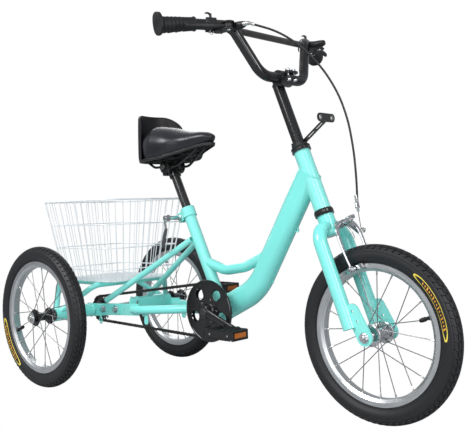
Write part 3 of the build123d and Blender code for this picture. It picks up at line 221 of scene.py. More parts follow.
# ------------------------------------------------------------------ forms
@dataclass
class Form:
    """Collects faces, and turns them into one piece of the machine."""

    points: list[Vector] = field(default_factory=list)
    faces: list[tuple[int, ...]] = field(default_factory=list)

    def stack(self, rings: Sequence[Sequence[Vector]], closed: bool = False) -> None:
        """Join rings of points in turn, and close the two ends.

        Args:
            rings: rings of equal length.
            closed: join the last ring to the first, and leave no ends.
        """
        start, size, total = len(self.points), len(rings[0]), len(rings)
        for ring in rings:
            self.points.extend(ring)
        for i in range(total if closed else total - 1):
            a, b = start + i * size, start + (i + 1) % total * size
            for j in range(size):
                k = (j + 1) % size
                self.faces.append((a + j, a + k, b + k, b + j))
        if not closed:
            last = start + (total - 1) * size
            self.faces.append(tuple(start + j for j in reversed(range(size))))
            self.faces.append(tuple(last + j for j in range(size)))

    def sweep(
        self,
        path: Sequence[Vector],
        wide: Sequence[float] | float,
        tall: Sequence[float] | float | None = None,
        sides: int = 12,
        up: Vector | None = None,
        closed: bool = False,
    ) -> None:
        """A bar of oval section along a path.

        Args:
            path: centre line in metres.
            wide: half width in millimetres, along the path or at every point.
            tall: half height, which is the half width where it isn't given.
            sides: points round the section.
            up: the direction of the half height.
            closed: the path is a loop.
        """
        count = len(path)
        wides = between(wide, count) if isinstance(wide, (list, tuple)) else [wide] * count
        talls = wides if tall is None else between(tall, count) if isinstance(tall,
                (list, tuple)) else [tall] * count
        if up is None:
            run = path[-1] - path[0] if not closed else path[count // 3] - path[0]
            up = min((Vector((1, 0, 0)), Vector((0, 1, 0)), Vector((0, 0, 1))),
                     key=lambda v: abs(v.dot(run)))
        rings = []
        for i, point in enumerate(path):
            before = path[i - 1] if i or closed else point
            after = path[(i + 1) % count] if i < count - 1 or closed else point
            along = (after - before).normalized()
            across = along.cross(up).normalized()
            lift = across.cross(along)
            rings.append(
                [
                    point
                    + across * wides[i] * MM * math.cos(TURN * s / sides)
                    + lift * talls[i] * MM * math.sin(TURN * s / sides)
                    for s in range(sides)
                ]
            )
        self.stack(rings, closed)

    def turn(
        self,
        centre: Vector,
        axis: Vector,
        profile: Sequence[tuple[float, float]],
        steps: int = 32,
        closed: bool = False,
    ) -> None:
        """A turned form about an axis.

        Args:
            centre: the origin of the distances along the axis, in metres.
            axis: the axis.
            profile: radius and distance along the axis at each point, in millimetres.
            steps: points round the axis.
            closed: the profile is a loop.
        """
        first = axis.orthogonal().normalized()
        second = axis.cross(first).normalized()
        rings = []
        for radius, along in profile:
            middle = centre + axis * along * MM
            ring = []
            for step in range(steps):
                angle = TURN * step / steps
                ring.append(middle + (first * math.cos(angle) + second * math.sin(angle)) * radius * MM)
            rings.append(ring)
        self.stack(rings, closed)

    def slab(
        self,
        outline: Outline,
        origin: Vector,
        x_dir: Vector,
        y_dir: Vector,
        thickness: float,
        bevel: float = 0.6,
    ) -> None:
        """A plate with bevelled edges, grown from its origin along x_dir cross y_dir.

        Args:
            outline: the outline's points for an inset, in millimetres.
            origin: the outline's origin in metres.
            x_dir: the outline's first direction.
            y_dir: the outline's second direction.
            thickness: in millimetres.
            bevel: width of the bevel in millimetres.
        """
        x_dir, normal = x_dir.normalized(), x_dir.cross(y_dir).normalized()
        y_dir = normal.cross(x_dir)
        rings = []
        for inset, height in ((bevel, 0), (0, bevel), (0, thickness - bevel), (bevel, thickness)):
            base = origin + normal * height * MM
            rings.append([base + x_dir * x * MM + y_dir * y * MM for x, y in outline(inset)])
        self.stack(rings)

    def block(self, centre: Vector, size: tuple[float, float, float], corner: float = 1.5) -> None:
        """A box with round upright edges and bevelled rims, along the machine's axes."""
        base = centre - Vector((0, 0, size[2] / 2 * MM))
        outline = rounded(size[0] / 2, size[1] / 2, corner, 3)
        self.slab(outline, base, Vector((1, 0, 0)), Vector((0, 1, 0)), size[2],
                  min(corner, size[2] / 3) * 0.6)

    def hexagon(self, centre: Vector, axis: Vector, radius: float, height: float) -> None:
        """A hexagon nut or bolt head that stands on its centre."""
        x_dir = axis.orthogonal()
        self.slab(circle(radius, 6), centre, x_dir, axis.cross(x_dir), height, 0.8)

    def mirrored(self) -> "Form":
        """The same form on the other side of the machine."""
        return Form([Vector((p.x, -p.y, p.z)) for p in self.points],
                    [tuple(reversed(f)) for f in self.faces])

    def piece(
        self,
        name: str,
        finish: bpy.types.Material,
        body: str,
        slot: Slot,
        replaces: Iterable[str] = (),
        subdivide: int = 0,
        crease: float = 35,
    ) -> bpy.types.Object:
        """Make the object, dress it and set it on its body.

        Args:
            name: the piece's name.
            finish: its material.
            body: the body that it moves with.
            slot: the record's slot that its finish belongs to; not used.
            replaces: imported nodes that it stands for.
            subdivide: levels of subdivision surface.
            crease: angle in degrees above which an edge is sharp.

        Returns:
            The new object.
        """
        mesh = bpy.data.meshes.new(name)
        mesh.from_pydata([tuple(p) for p in self.points], [], self.faces)
        work = bmesh.new()
        work.from_mesh(mesh)
        bmesh.ops.recalc_face_normals(work, faces=work.faces)
        work.to_mesh(mesh)
        work.free()
        mesh.materials.append(finish)
        mesh.polygons.foreach_set("use_smooth", [True] * len(mesh.polygons))
        mesh.set_sharp_from_angle(angle=math.radians(crease))
        piece = bpy.data.objects.new(name, mesh)
        bpy.context.scene.collection.objects.link(piece)
        if subdivide:
            modifier = piece.modifiers.new("subdivision", "SUBSURF")
            modifier.levels = modifier.render_levels = subdivide
            apply_modifiers(piece)
        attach(piece, body)
        nodes = list(replaces)
        if nodes:
            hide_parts(*nodes)
        LOG.info("%s: %d faces on %s", name, len(piece.data.polygons), body)
        return piece


def apply_modifiers(piece: bpy.types.Object) -> None:
    """Turn the piece's modifiers into mesh."""
    bpy.context.view_layer.update()
    depsgraph = bpy.context.evaluated_depsgraph_get()
    mesh = bpy.data.meshes.new_from_object(piece.evaluated_get(depsgraph))
    piece.modifiers.clear()
    piece.data = mesh


def drill(piece: bpy.types.Object, holes: Form) -> None:
    """Cut closed forms out of a piece."""
    mesh = bpy.data.meshes.new("holes")
    mesh.from_pydata([tuple(p) for p in holes.points], [], holes.faces)
    cutter = bpy.data.objects.new("holes", mesh)
    bpy.context.scene.collection.objects.link(cutter)
    modifier = piece.modifiers.new("holes", "BOOLEAN")
    modifier.operation, modifier.object, modifier.solver = "DIFFERENCE", cutter, "EXACT"
    apply_modifiers(piece)
    bpy.data.objects.remove(cutter)
    piece.data.set_sharp_from_angle(angle=math.radians(35))


# ------------------------------------------------------------------ shader groups
class Group:
    """A shader node group under construction, with named sockets."""

    def __init__(self, name: str, inputs: dict[str, float | tuple], outputs: dict[str, str]) -> None:
        """Make the group with its sockets.

        Args:
            name: the group's name.
            inputs: default value of each input; three numbers make a vector.
            outputs: socket type of each output.
        """
        self.tree = bpy.data.node_groups.new(name, "ShaderNodeTree")
        for label, default in inputs.items():
            kind = "NodeSocketVector" if isinstance(default, tuple) else "NodeSocketFloat"
            socket = self.tree.interface.new_socket(label, in_out="INPUT", socket_type=kind)
            socket.default_value = default
        for label, kind in outputs.items():
            self.tree.interface.new_socket(label, in_out="OUTPUT", socket_type=kind)
        self.start = self.tree.nodes.new("NodeGroupInput")
        self.end = self.tree.nodes.new("NodeGroupOutput")

    def node(self, kind: str, **settings: object) -> bpy.types.Node:
        """Add a node; names of settings are its properties."""
        return add_node(self.tree, kind, **settings)

    def join(self, source: bpy.types.NodeSocket, target: bpy.types.NodeSocket) -> None:
        """Link two sockets."""
        self.tree.links.new(source, target)

    def sum(self, operation: str, *values: bpy.types.NodeSocket | float) -> bpy.types.NodeSocket:
        """A math node's result."""
        return math_node(self.tree, operation, *values)

    def remap(self, source: bpy.types.NodeSocket, low: float, high: float) -> bpy.types.Node:
        """A node that spreads the values between low and high over 0 to 1."""
        node = self.node("MapRange")
        self.join(source, node.inputs["Value"])
        node.inputs["From Min"].default_value = low
        node.inputs["From Max"].default_value = high
        return node

    def put_out(self, noise: bpy.types.NodeSocket) -> None:
        """Send out noise as a height, and as a value between the Low and High inputs."""
        limits = self.remap(noise, *NOISE_SPREAD)
        self.join(self.start.outputs["Low"], limits.inputs["To Min"])
        self.join(self.start.outputs["High"], limits.inputs["To Max"])
        self.join(limits.outputs[0], self.end.inputs["Value"])
        self.join(noise, self.end.inputs["Height"])


def add_node(tree: bpy.types.NodeTree, kind: str, **settings: object) -> bpy.types.Node:
    """Add a node to a tree and set its properties."""
    node = tree.nodes.new("ShaderNode" + kind)
    for name, value in settings.items():
        setattr(node, name, value)
    return node


def math_node(tree: bpy.types.NodeTree, operation: str,
              *values: bpy.types.NodeSocket | float) -> bpy.types.NodeSocket:
    """Add a math node and give back its result."""
    node = add_node(tree, "Math", operation=operation)
    for socket, value in zip(node.inputs, values):
        if isinstance(value, bpy.types.NodeSocket):
            tree.links.new(value, socket)
        else:
            socket.default_value = value
    return node.outputs[0]


def grain_group() -> bpy.types.NodeTree:
    """Uneven fine noise, as a value between two limits and as a height."""
    group = Group(
        "grain",
        {"Scale": 200.0, "Detail": 3.0, "Low": 0.3, "High": 0.4},
        {"Value": "NodeSocketFloat", "Height": "NodeSocketFloat"},
    )
    place = group.node("TexCoord")
    noise = group.node("TexNoise")
    group.join(place.outputs["Object"], noise.inputs["Vector"])
    group.join(group.start.outputs["Scale"], noise.inputs["Scale"])
    group.join(group.start.outputs["Detail"], noise.inputs["Detail"])
    group.put_out(noise.outputs[0])
    return group.tree


def wear_group() -> bpy.types.NodeTree:
    """Where edges are rubbed and where dust lies in corners."""
    group = Group(
        "wear",
        {"Scale": 60.0, "Edge": 0.5, "Dust": 0.3},
        {"Edge": "NodeSocketFloat", "Dust": "NodeSocketFloat"},
    )
    shape = group.node("NewGeometry")
    place = group.node("TexCoord")
    noise = group.node("TexNoise")
    group.join(place.outputs["Object"], noise.inputs["Vector"])
    group.join(group.start.outputs["Scale"], noise.inputs["Scale"])
    edge = group.remap(shape.outputs["Pointiness"], *EDGE_SPREAD)
    rubbed = group.sum("MULTIPLY", edge.outputs[0], noise.outputs[0])
    group.join(group.sum("MULTIPLY", rubbed, group.start.outputs["Edge"]), group.end.inputs["Edge"])
    hollow = group.remap(shape.outputs["Pointiness"], *HOLLOW_SPREAD)
    dusty = group.sum("MULTIPLY", hollow.outputs[0], noise.outputs[0])
    group.join(group.sum("MULTIPLY", dusty, group.start.outputs["Dust"]), group.end.inputs["Dust"])
    return group.tree


def turned_group() -> bpy.types.NodeTree:
    """Fine streaks round an axle, as a value between two limits and as a height."""
    group = Group(
        "turned",
        {"Centre": (0.0, 0.0, 0.0), "Fine": 900.0, "Long": 3.0, "Low": 0.2, "High": 0.4},
        {"Value": "NodeSocketFloat", "Height": "NodeSocketFloat"},
    )
    place = group.node("TexCoord")
    local = group.node("VectorMath", operation="SUBTRACT")
    group.join(place.outputs["Object"], local.inputs[0])
    group.join(group.start.outputs["Centre"], local.inputs[1])
    parts = group.node("SeparateXYZ")
    group.join(local.outputs[0], parts.inputs[0])
    square = group.sum(
        "ADD",
        group.sum("MULTIPLY", parts.outputs["X"], parts.outputs["X"]),
        group.sum("MULTIPLY", parts.outputs["Z"], parts.outputs["Z"]),
    )
    radius = group.sum("SQRT", square)
    unit_x = group.sum("DIVIDE", parts.outputs["X"], radius)
    unit_z = group.sum("DIVIDE", parts.outputs["Z"], radius)
    across = group.sum("ADD", radius, parts.outputs["Y"])
    bundle = group.node("CombineXYZ")
    group.join(group.sum("MULTIPLY", unit_x, group.start.outputs["Long"]), bundle.inputs[0])
    group.join(group.sum("MULTIPLY", unit_z, group.start.outputs["Long"]), bundle.inputs[1])
    group.join(group.sum("MULTIPLY", across, group.start.outputs["Fine"]), bundle.inputs[2])
    noise = group.node("TexNoise")
    noise.inputs["Scale"].default_value = 1.0
    noise.inputs["Detail"].default_value = 4.0
    group.join(bundle.outputs[0], noise.inputs["Vector"])
    group.put_out(noise.outputs[0])
    return group.tree


# ------------------------------------------------------------------ finishes
def new_material(name: str) -> tuple[bpy.types.Material, bpy.types.NodeTree, bpy.types.Node]:
    """A material with its node tree and its Principled shader."""
    material = bpy.data.materials.new(name)
    material.use_nodes = True
    tree = material.node_tree
    return material, tree, tree.nodes["Principled BSDF"]


def set_inputs(node: bpy.types.Node, values: dict[str, float | tuple]) -> None:
    """Set a node's inputs by name."""
    for label, value in values.items():
        node.inputs[label].default_value = value


def add_group(tree: bpy.types.NodeTree, group: bpy.types.NodeTree,
              values: dict[str, float | tuple]) -> bpy.types.Node:
    """Add a node group to a tree, with its inputs set."""
    node = add_node(tree, "Group", node_tree=group)
    set_inputs(node, values)
    return node


def add_bump(
    tree: bpy.types.NodeTree,
    height: bpy.types.NodeSocket,
    shader: bpy.types.Node,
    strength: float,
    depth: float,
) -> None:
    """Raise a shader's surface by a height."""
    node = add_node(tree, "Bump")
    set_inputs(node, {"Strength": strength, "Distance": depth})
    tree.links.new(height, node.inputs["Height"])
    tree.links.new(node.outputs[0], shader.inputs["Normal"])


def tint_over(
    tree: bpy.types.NodeTree,
    mask: bpy.types.NodeSocket,
    below: bpy.types.NodeSocket,
    colour: tuple[float, float, float],
) -> bpy.types.NodeSocket:
    """Lay a colour over another where the mask says."""
    layer = add_node(tree, "Mix", data_type="RGBA")
    tree.links.new(mask, layer.inputs["Factor"])
    tree.links.new(below, layer.inputs[6])
    layer.inputs[7].default_value = (*colour, 1)
    return layer.outputs[2]


@dataclass(frozen=True)
class Finish:
    """One surface finish: its colour, gloss and fine texture."""

    name: str
    colour: tuple[float, float, float]
    rough: tuple[float, float] = (0.3, 0.4)
    metal: float = 0.0
    coat: float = 0.0
    coat_rough: float = 0.05
    specular: float = 0.5
    grain_scale: float = 300.0
    grain_detail: float = 3.0
    bump: float = 0.02
    bump_depth: float = 0.0005
    edge: float = 0.0
    edge_colour: tuple[float, float, float] = (0.5, 0.5, 0.5)
    dust: float = 0.0
    dust_colour: tuple[float, float, float] = (0.4, 0.38, 0.34)
    variation: float = 0.08

    def build(self, groups: dict[str, bpy.types.NodeTree]) -> bpy.types.Material:
        """Make the material.

        Args:
            groups: the shared node groups by name.

        Returns:
            The material.
        """
        material, tree, shader = new_material(self.name)
        material.diffuse_color = (*self.colour, 1)
        set_inputs(shader, {
            "Metallic": self.metal,
            "Coat Weight": self.coat,
            "Coat Roughness": self.coat_rough,
            "Specular IOR Level": self.specular,
        })
        low, high = self.rough
        fine = {"Scale": self.grain_scale, "Detail": self.grain_detail, "Low": low, "High": high}
        grain = add_group(tree, groups["grain"], fine)
        tree.links.new(grain.outputs["Value"], shader.inputs["Roughness"])
        add_bump(tree, grain.outputs["Height"], shader, self.bump, self.bump_depth)
        spread = {"Scale": CLOUD_SCALE, "Low": 1 - self.variation, "High": 1 + self.variation}
        cloud = add_group(tree, groups["grain"], spread)
        shade = add_node(tree, "Mix", data_type="RGBA", blend_type="MULTIPLY")
        shade.inputs["Factor"].default_value = 1.0
        shade.inputs[6].default_value = (*self.colour, 1)
        tree.links.new(cloud.outputs["Value"], shade.inputs[7])
        wear = add_group(tree, groups["wear"], {"Edge": self.edge, "Dust": self.dust})
        rubbed = tint_over(tree, wear.outputs["Edge"], shade.outputs[2], self.edge_colour)
        dusty = tint_over(tree, wear.outputs["Dust"], rubbed, self.dust_colour)
        tree.links.new(dusty, shader.inputs["Base Color"])
        return material


@dataclass(frozen=True)
class Turned:
    """A finish with streaks or ridges round an axle."""

    name: str
    colour: tuple[float, float, float]
    centre: Vector
    rough: tuple[float, float]
    metal: float = 1.0
    fine: float = 900.0
    long: float = 3.0
    bump: float = 0.1
    contrast: float = 0.15
    bump_depth: float = 0.0004

    def build(self, groups: dict[str, bpy.types.NodeTree]) -> bpy.types.Material:
        """Make the material.

        Args:
            groups: the shared node groups by name.

        Returns:
            The material.
        """
        material, tree, shader = new_material(self.name)
        shader.inputs["Metallic"].default_value = self.metal
        low, high = self.rough
        lines = {"Centre": tuple(self.centre), "Fine": self.fine, "Long": self.long, "Low": low,
                 "High": high}
        streaks = add_group(tree, groups["turned"], lines)
        tree.links.new(streaks.outputs["Value"], shader.inputs["Roughness"])
        add_bump(tree, streaks.outputs["Height"], shader, self.bump, self.bump_depth)
        shade = add_node(tree, "Mix", data_type="RGBA")
        tree.links.new(streaks.outputs["Height"], shade.inputs["Factor"])
        shade.inputs[6].default_value = (*[c * (1 - self.contrast) for c in self.colour], 1)
        shade.inputs[7].default_value = (*[min(c * (1 + self.contrast), 1) for c in self.colour], 1)
        tree.links.new(shade.outputs[2], shader.inputs["Base Color"])
        return material


class Palette:
    """Every finish on the machine, built once."""

    def __init__(self, layout: Layout) -> None:
        """Build the groups and the finishes."""
        groups = {"grain": grain_group(), "wear": wear_group(), "turned": turned_group()}
        steel_edge = (0.45, 0.46, 0.47)
        plain = [
            Finish("mint_enamel", (0.22, 0.83, 0.76), (0.16, 0.24), coat=0.8, coat_rough=0.04,
                   grain_scale=500,
                   bump=0.03, edge=0.25, edge_colour=(0.55, 0.92, 0.86), dust=0.25, variation=0.03),
            Finish("black_enamel", (0.005, 0.005, 0.006), (0.16, 0.26), coat=0.3, grain_scale=420,
                   bump=0.03,
                   edge=0.3, edge_colour=(0.10, 0.10, 0.10), dust=0.2),
            Finish("satin_black", (0.007, 0.007, 0.008), (0.35, 0.5), specular=0.4, grain_scale=900,
                   bump=0.12, edge=0.4,
                   edge_colour=(0.12, 0.12, 0.12), dust=0.3),
            Finish("moulded_black", (0.008, 0.008, 0.009), (0.36, 0.5), specular=0.4, grain_scale=1600,
                   bump=0.25,
                   bump_depth=0.0003, edge=0.35, edge_colour=(0.09, 0.09, 0.09), dust=0.3),
            Finish("ribbed_rubber", (0.009, 0.009, 0.010), (0.45, 0.6), grain_scale=1200, bump=0.3,
                   bump_depth=0.0004, specular=0.4, dust=0.4),
            Finish("glossy_vinyl", (0.006, 0.006, 0.010), (0.3, 0.4), coat=0.15, coat_rough=0.2,
                   grain_scale=1300, grain_detail=6, bump=0.22, bump_depth=0.0003, specular=0.55,
                   variation=0.12),
            Finish("bright_chrome", (0.62, 0.63, 0.65), (0.06, 0.16), metal=1, grain_scale=120, bump=0.02,
                   dust=0.3, dust_colour=(0.25, 0.24, 0.22)),
            Finish("dark_steel", (0.10, 0.095, 0.09), (0.25, 0.42), metal=0.9, grain_scale=260, bump=0.1,
                   edge=0.7, edge_colour=steel_edge, dust=0.3, dust_colour=(0.06, 0.035, 0.02)),
            Finish("chain_steel", (0.045, 0.042, 0.04), (0.28, 0.45), metal=0.7, grain_scale=400, bump=0.1,
                   edge=0.5, edge_colour=(0.25, 0.22, 0.2), dust=0.4, dust_colour=(0.10, 0.05, 0.025)),
            Finish("zinc_steel", (0.62, 0.62, 0.60), (0.2, 0.34), metal=1, grain_scale=300, bump=0.06,
                   dust=0.3,
                   dust_colour=(0.22, 0.2, 0.17)),
            Finish("spoke_steel", (0.36, 0.36, 0.37), (0.2, 0.3), metal=1, grain_scale=600, bump=0.02),
            Finish("white_coating", (0.86, 0.89, 0.92), (0.22, 0.34), coat=0.3, grain_scale=700, bump=0.1,
                   dust=0.3, dust_colour=(0.5, 0.52, 0.52), variation=0.04),
            Finish("cable_sheath", (0.014, 0.014, 0.015), (0.3, 0.42), grain_scale=1500, bump=0.08),
            Finish("grey_grip", (0.055, 0.058, 0.062), (0.35, 0.5), grain_scale=1400, bump=0.2, edge=0.3,
                   edge_colour=(0.2, 0.2, 0.2)),
            Finish("decal_yellow", (0.90, 0.72, 0.10), (0.3, 0.4), grain_scale=900, bump=0.05,
                   variation=0.15),
            Finish("decal_orange", (0.82, 0.36, 0.04), (0.3, 0.4), grain_scale=900, bump=0.05,
                   variation=0.25),
            Finish("brake_rubber", (0.016, 0.016, 0.017), (0.6, 0.75), grain_scale=900, bump=0.3, dust=0.5),
        ]
        centres = {
            "front": layout.front,
            "rear_right": layout.rear,
            "rear_left": layout.rear,
        }
        turned = []
        for wheel, centre in centres.items():
            turned.append(Turned(f"brushed_rim_{wheel}", (0.64, 0.65, 0.66), centre, (0.26, 0.46), fine=700,
                                 long=4, contrast=0.35))
            turned.append(Turned(f"tyre_rubber_{wheel}", (0.010, 0.010, 0.012), centre, (0.42, 0.6),
                                 metal=0,
                                 fine=1100, long=2, bump=0.35, contrast=0.25))
        turned.append(Turned("ring_enamel", (0.011, 0.011, 0.012), layout.crank, (0.12, 0.26), metal=0,
                             fine=500,
                             bump=0.08))
        self.materials = {finish.name: finish.build(groups) for finish in [*plain, *turned]}
        self.materials["amber_prism"] = self.amber(groups)

    def amber(self, groups: dict[str, bpy.types.NodeTree]) -> bpy.types.Material:
        """Moulded amber plastic with small prisms under its face, each prism coloured lighter at its middle
        and darker at its edges as painted highlight and shade.
        """
        material = Finish("amber_prism", (0.62, 0.17, 0.012), (0.15, 0.25), coat=0.3,
                          bump=0.1).build(groups)
        tree = material.node_tree
        shader = tree.nodes["Principled BSDF"]
        place = add_node(tree, "TexCoord")
        cells = add_node(tree, "TexVoronoi", distance="CHEBYCHEV")
        cells.inputs["Scale"].default_value = 330
        cells.inputs["Randomness"].default_value = 0.0
        tree.links.new(place.outputs["Object"], cells.inputs["Vector"])
        add_bump(tree, cells.outputs["Distance"], shader, 0.7, 0.001)
        # Painted highlight and shade: each prism is coloured bright at its middle and dark towards its
        # edges.
        painted_prism_light = add_node(tree, "ValToRGB")
        painted_prism_light.color_ramp.elements[0].color = (0.72, 0.20, 0.008, 1)
        painted_prism_light.color_ramp.elements[1].color = (0.30, 0.07, 0.005, 1)
        painted_prism_light.color_ramp.elements[1].position = 0.6
        tree.links.new(cells.outputs["Distance"], painted_prism_light.inputs[0])
        tree.links.new(painted_prism_light.outputs[0], shader.inputs["Base Color"])
        return material

    def __getitem__(self, name: str) -> bpy.types.Material:
        """The finish of that name."""
        return self.materials[name]

    def dress(self, frame: dict, finish: str, *nodes: str) -> None:
        """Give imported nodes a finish."""
        for node in nodes:
            piece = frame["nodes"][node]
            piece.data.materials.clear()
            piece.data.materials.append(self[finish])
            LOG.info("%s wears %s", node, finish)


# ------------------------------------------------------------------ wheels
@dataclass
class Wheel:
    """A spoked wheel: tyre with a block tread, rim, nipples, hub and valve."""

    name: str
    body: str
    centre: Vector
    outside: int
    valve_angle: float
    decal_angle: float
    hub_barrel: float
    hub_flanges: tuple[float, float]
    hub_ends: tuple[float, float]
    hub_finish: str
    hub_slot: Slot
    bore: float
    tyre_radius: float = 200
    section: float = 22
    rim_foot: float = 141
    pitches: int = 74
    spokes: int = 20
    spoke_circle: float = 19
    decal_span: float = 26

    def build(self, palette: Palette) -> None:
        """Build and dress the whole wheel."""
        self.tyre(palette)
        self.decal(palette)
        self.valve(palette)
        self.nipples(palette)
        self.hub(palette)

    def around(self, radius: float, angle: float, across: float) -> Vector:
        """A place by distance from the axle, angle from ahead and distance to the left."""
        return self.centre + Vector((radius * math.cos(angle), across, radius * math.sin(angle))) * MM

    def rows(self) -> list[tuple[float, str]]:
        """The tread's rows from the middle out: angle round the section and kind."""
        return [
            (0.0, "rib"), (6.0, "rib"), (7.5, "floor"), (10.5, "floor"), (12.0, "first"), (20.0, "first"),
            (28.0, "first"), (29.5, "floor"), (32.5, "floor"), (34.0, "second"), (44.0, "second"),
            (54.0, "second"),
            (56.0, "wall"), (63.0, "wall"), (65.0, "ridge"), (67.0, "ridge"), (69.0, "wall"),
            (80.0, "wall"),
            (92.0, "wall"), (105.0, "wall"), (118.0, "wall"), (128.0, "wall"), (131.0, "ridge"),
            (135.0, "ridge"),
            (140.0, "wall"),
        ]

    def tyre(self, palette: Palette) -> None:
        """The tyre: slanted tread blocks, smooth sidewalls and beads inside the rim."""
        half_rows = self.rows()
        rows = [(-angle, kind) for angle, kind in reversed(half_rows[1:])] + half_rows
        columns = (0.0, 0.04, 0.22, 0.26, 0.50, 0.54, 0.72, 0.76)
        tops = {"first": (0.04, 0.72), "second": (0.54, 1.22)}
        step = TURN / self.pitches
        slant = 0.075
        rings = []
        for pitch in range(self.pitches):
            for column in columns:
                ring = []
                for angle, kind in rows:
                    depth = {"rib": 0.0, "floor": 2.1, "wall": 1.1, "ridge": 0.4}.get(kind)
                    if depth is None:
                        low, high = tops[kind]
                        inside = any(low - 0.001 <= column + lap <= high + 0.001 for lap in (0, 1))
                        depth = 0.0 if inside else 2.1
                    reach = self.section - depth
                    lean = slant * min(abs(angle), 58) / 58
                    turn = step * (pitch + column) + lean
                    bend = math.radians(angle)
                    radius = self.tyre_radius - self.section + reach * math.cos(bend)
                    ring.append(self.around(radius, turn, reach * math.sin(bend)))
                lean = step * (pitch + column) + slant
                for radius, across in ((157.5, 12.3), (154.5, 12.0), (154.5, -12.0), (157.5, -12.3)):
                    ring.append(self.around(radius, lean, across))
                rings.append(ring)
        form = Form()
        form.stack(rings, closed=True)
        form.piece(f"{self.name}_tyre_treaded", palette[f"tyre_rubber_{self.name}"], self.body, Slot.TYRE,
                   [f"{self.name}_tyre"], crease=50)

    def sidewall(self, radius: float, proud: float) -> float:
        """Distance out from the wheel's middle plane to the sidewall, to the outside."""
        reach = self.section - 1.1 + proud
        drop = radius - (self.tyre_radius - self.section)
        return self.outside * math.sqrt(max(reach**2 - drop**2, 0))

    def decal(self, palette: Palette) -> None:
        """A plain long leaf in yellow outline with slanted orange bars, on the outer sidewall."""
        middle, half_width, steps = 173.5, 6.2, 60
        start = math.radians(self.decal_angle - self.decal_span)
        span = math.radians(2 * self.decal_span)
        leaf = Form()
        for sign in (-1, 1):
            rings = []
            for i in range(steps + 1):
                t = i / steps
                spread = half_width * (1 - (2 * t - 1) ** 6) ** 0.8
                stroke = 0.55 + 1.5 * abs(2 * t - 1) ** 6
                angle = start + span * t
                ring = []
                for offset, proud in ((-stroke, 0.05), (stroke, 0.05), (stroke, 0.35), (-stroke, 0.35)):
                    radius = middle + sign * max(spread, 0.2) + offset
                    ring.append(self.around(radius, angle, self.sidewall(radius, proud)))
                rings.append(ring)
            leaf.stack(rings)
        leaf.piece(f"{self.name}_decal_outline", palette["decal_yellow"], self.body, Slot.TYRE)
        bars = Form()
        count = 15
        for i in range(count):
            t = 0.16 + 0.66 * i / (count - 1)
            tall = 3.6 * (0.65 + 0.35 * math.cos(i * 2.1))
            angle = start + span * t
            rings = []
            for radius in (middle - tall, middle, middle + tall):
                lean = (radius - middle) * 0.0022
                ring = []
                for turn, proud in ((-0.010, 0.05), (0.010, 0.05), (0.010, 0.3), (-0.010, 0.3)):
                    ring.append(self.around(radius, angle + lean + turn, self.sidewall(radius, proud)))
                rings.append(ring)
            bars.stack(rings)
        bars.piece(f"{self.name}_decal_bars", palette["decal_orange"], self.body, Slot.TYRE)

    def valve(self, palette: Palette) -> None:
        """A rubber valve with a ribbed cap, standing inwards from the rim."""
        angle = math.radians(self.valve_angle)
        inward = Vector((-math.cos(angle), 0, -math.sin(angle)))
        form = Form()
        root = self.around(self.rim_foot + 0.5, angle, 0)
        form.turn(root, inward, [(6.2, 0), (5.8, 2), (4.2, 4), (4.0, 15), (3.6, 16)], 16)
        form.piece(f"{self.name}_valve_stem", palette["ribbed_rubber"], self.body, Slot.RUBBER)
        cap = Form()
        ribs = [(5.2 if i % 2 else 4.8, 15.5 + i * 1.2) for i in range(9)]
        cap.turn(root, inward, [(3.6, 15.0), *ribs, (4.8, 27), (4.0, 30), (1.8, 31)], 14)
        cap.piece(f"{self.name}_valve_cap", palette["moulded_black"], self.body, Slot.PLASTIC)

    def nipples(self, palette: Palette) -> None:
        """A nipple at the rim for every spoke."""
        form = Form()
        for count in range(self.spokes):
            flange = self.hub_flanges[count % 2]
            lean = 62 if count % 4 < 2 else -62
            rim_angle = math.radians(count * 360 / self.spokes)
            hub_angle = rim_angle + math.radians(lean)
            outside = 2.6 if flange < 0 else -2.6
            low = self.around(self.spoke_circle, hub_angle, flange + outside)
            high = self.around(self.rim_foot, rim_angle, 3 if flange > 0 else -3)
            inward = (low - high).normalized()
            form.turn(high - inward * MM, inward, [(2.9, 0), (2.9, 1.6), (2.0, 2.6), (1.8, 11), (1.2, 12)],
                      8)
        form.piece(f"{self.name}_nipples", palette["zinc_steel"], self.body, Slot.CHROME)

    def hub(self, palette: Palette) -> None:
        """A turned hub with drilled flanges."""
        axis = Vector((0, 1, 0))
        low, high = self.hub_ends
        near, far = self.hub_flanges
        barrel, bore = self.hub_barrel, self.bore
        profile = [(bore, low), (barrel * 0.75, low), (barrel * 0.8, low + 0.8), (barrel * 0.8, near - 3.2)]
        profile += [(17, near - 2.4), (23.2, near - 1.5), (24, near - 0.8), (24, near + 0.8),
                    (23.2, near + 1.5)]
        profile += [(17, near + 2.4), (barrel, near + 5), (barrel * 0.86, near + 13)]
        mirrored = [(radius, (near + far) - along) for radius, along in reversed(profile[1:])]
        mirrored = [(radius, min(along, high)) for radius, along in mirrored]
        loop = [*profile, *mirrored, (bore, high)]
        form = Form()
        form.turn(self.centre, axis, loop, 48, closed=True)
        piece = form.piece(f"{self.name}_hub_turned", palette[self.hub_finish], self.body, self.hub_slot,
                           [f"{self.name}_hub"])
        holes = Form()
        for count in range(10):
            angle = TURN * (count + 0.5) / 10
            for flange in self.hub_flanges:
                holes.turn(self.around(20.4, angle, flange), axis, [(1.9, -4), (1.9, 4)], 12)
        drill(piece, holes)


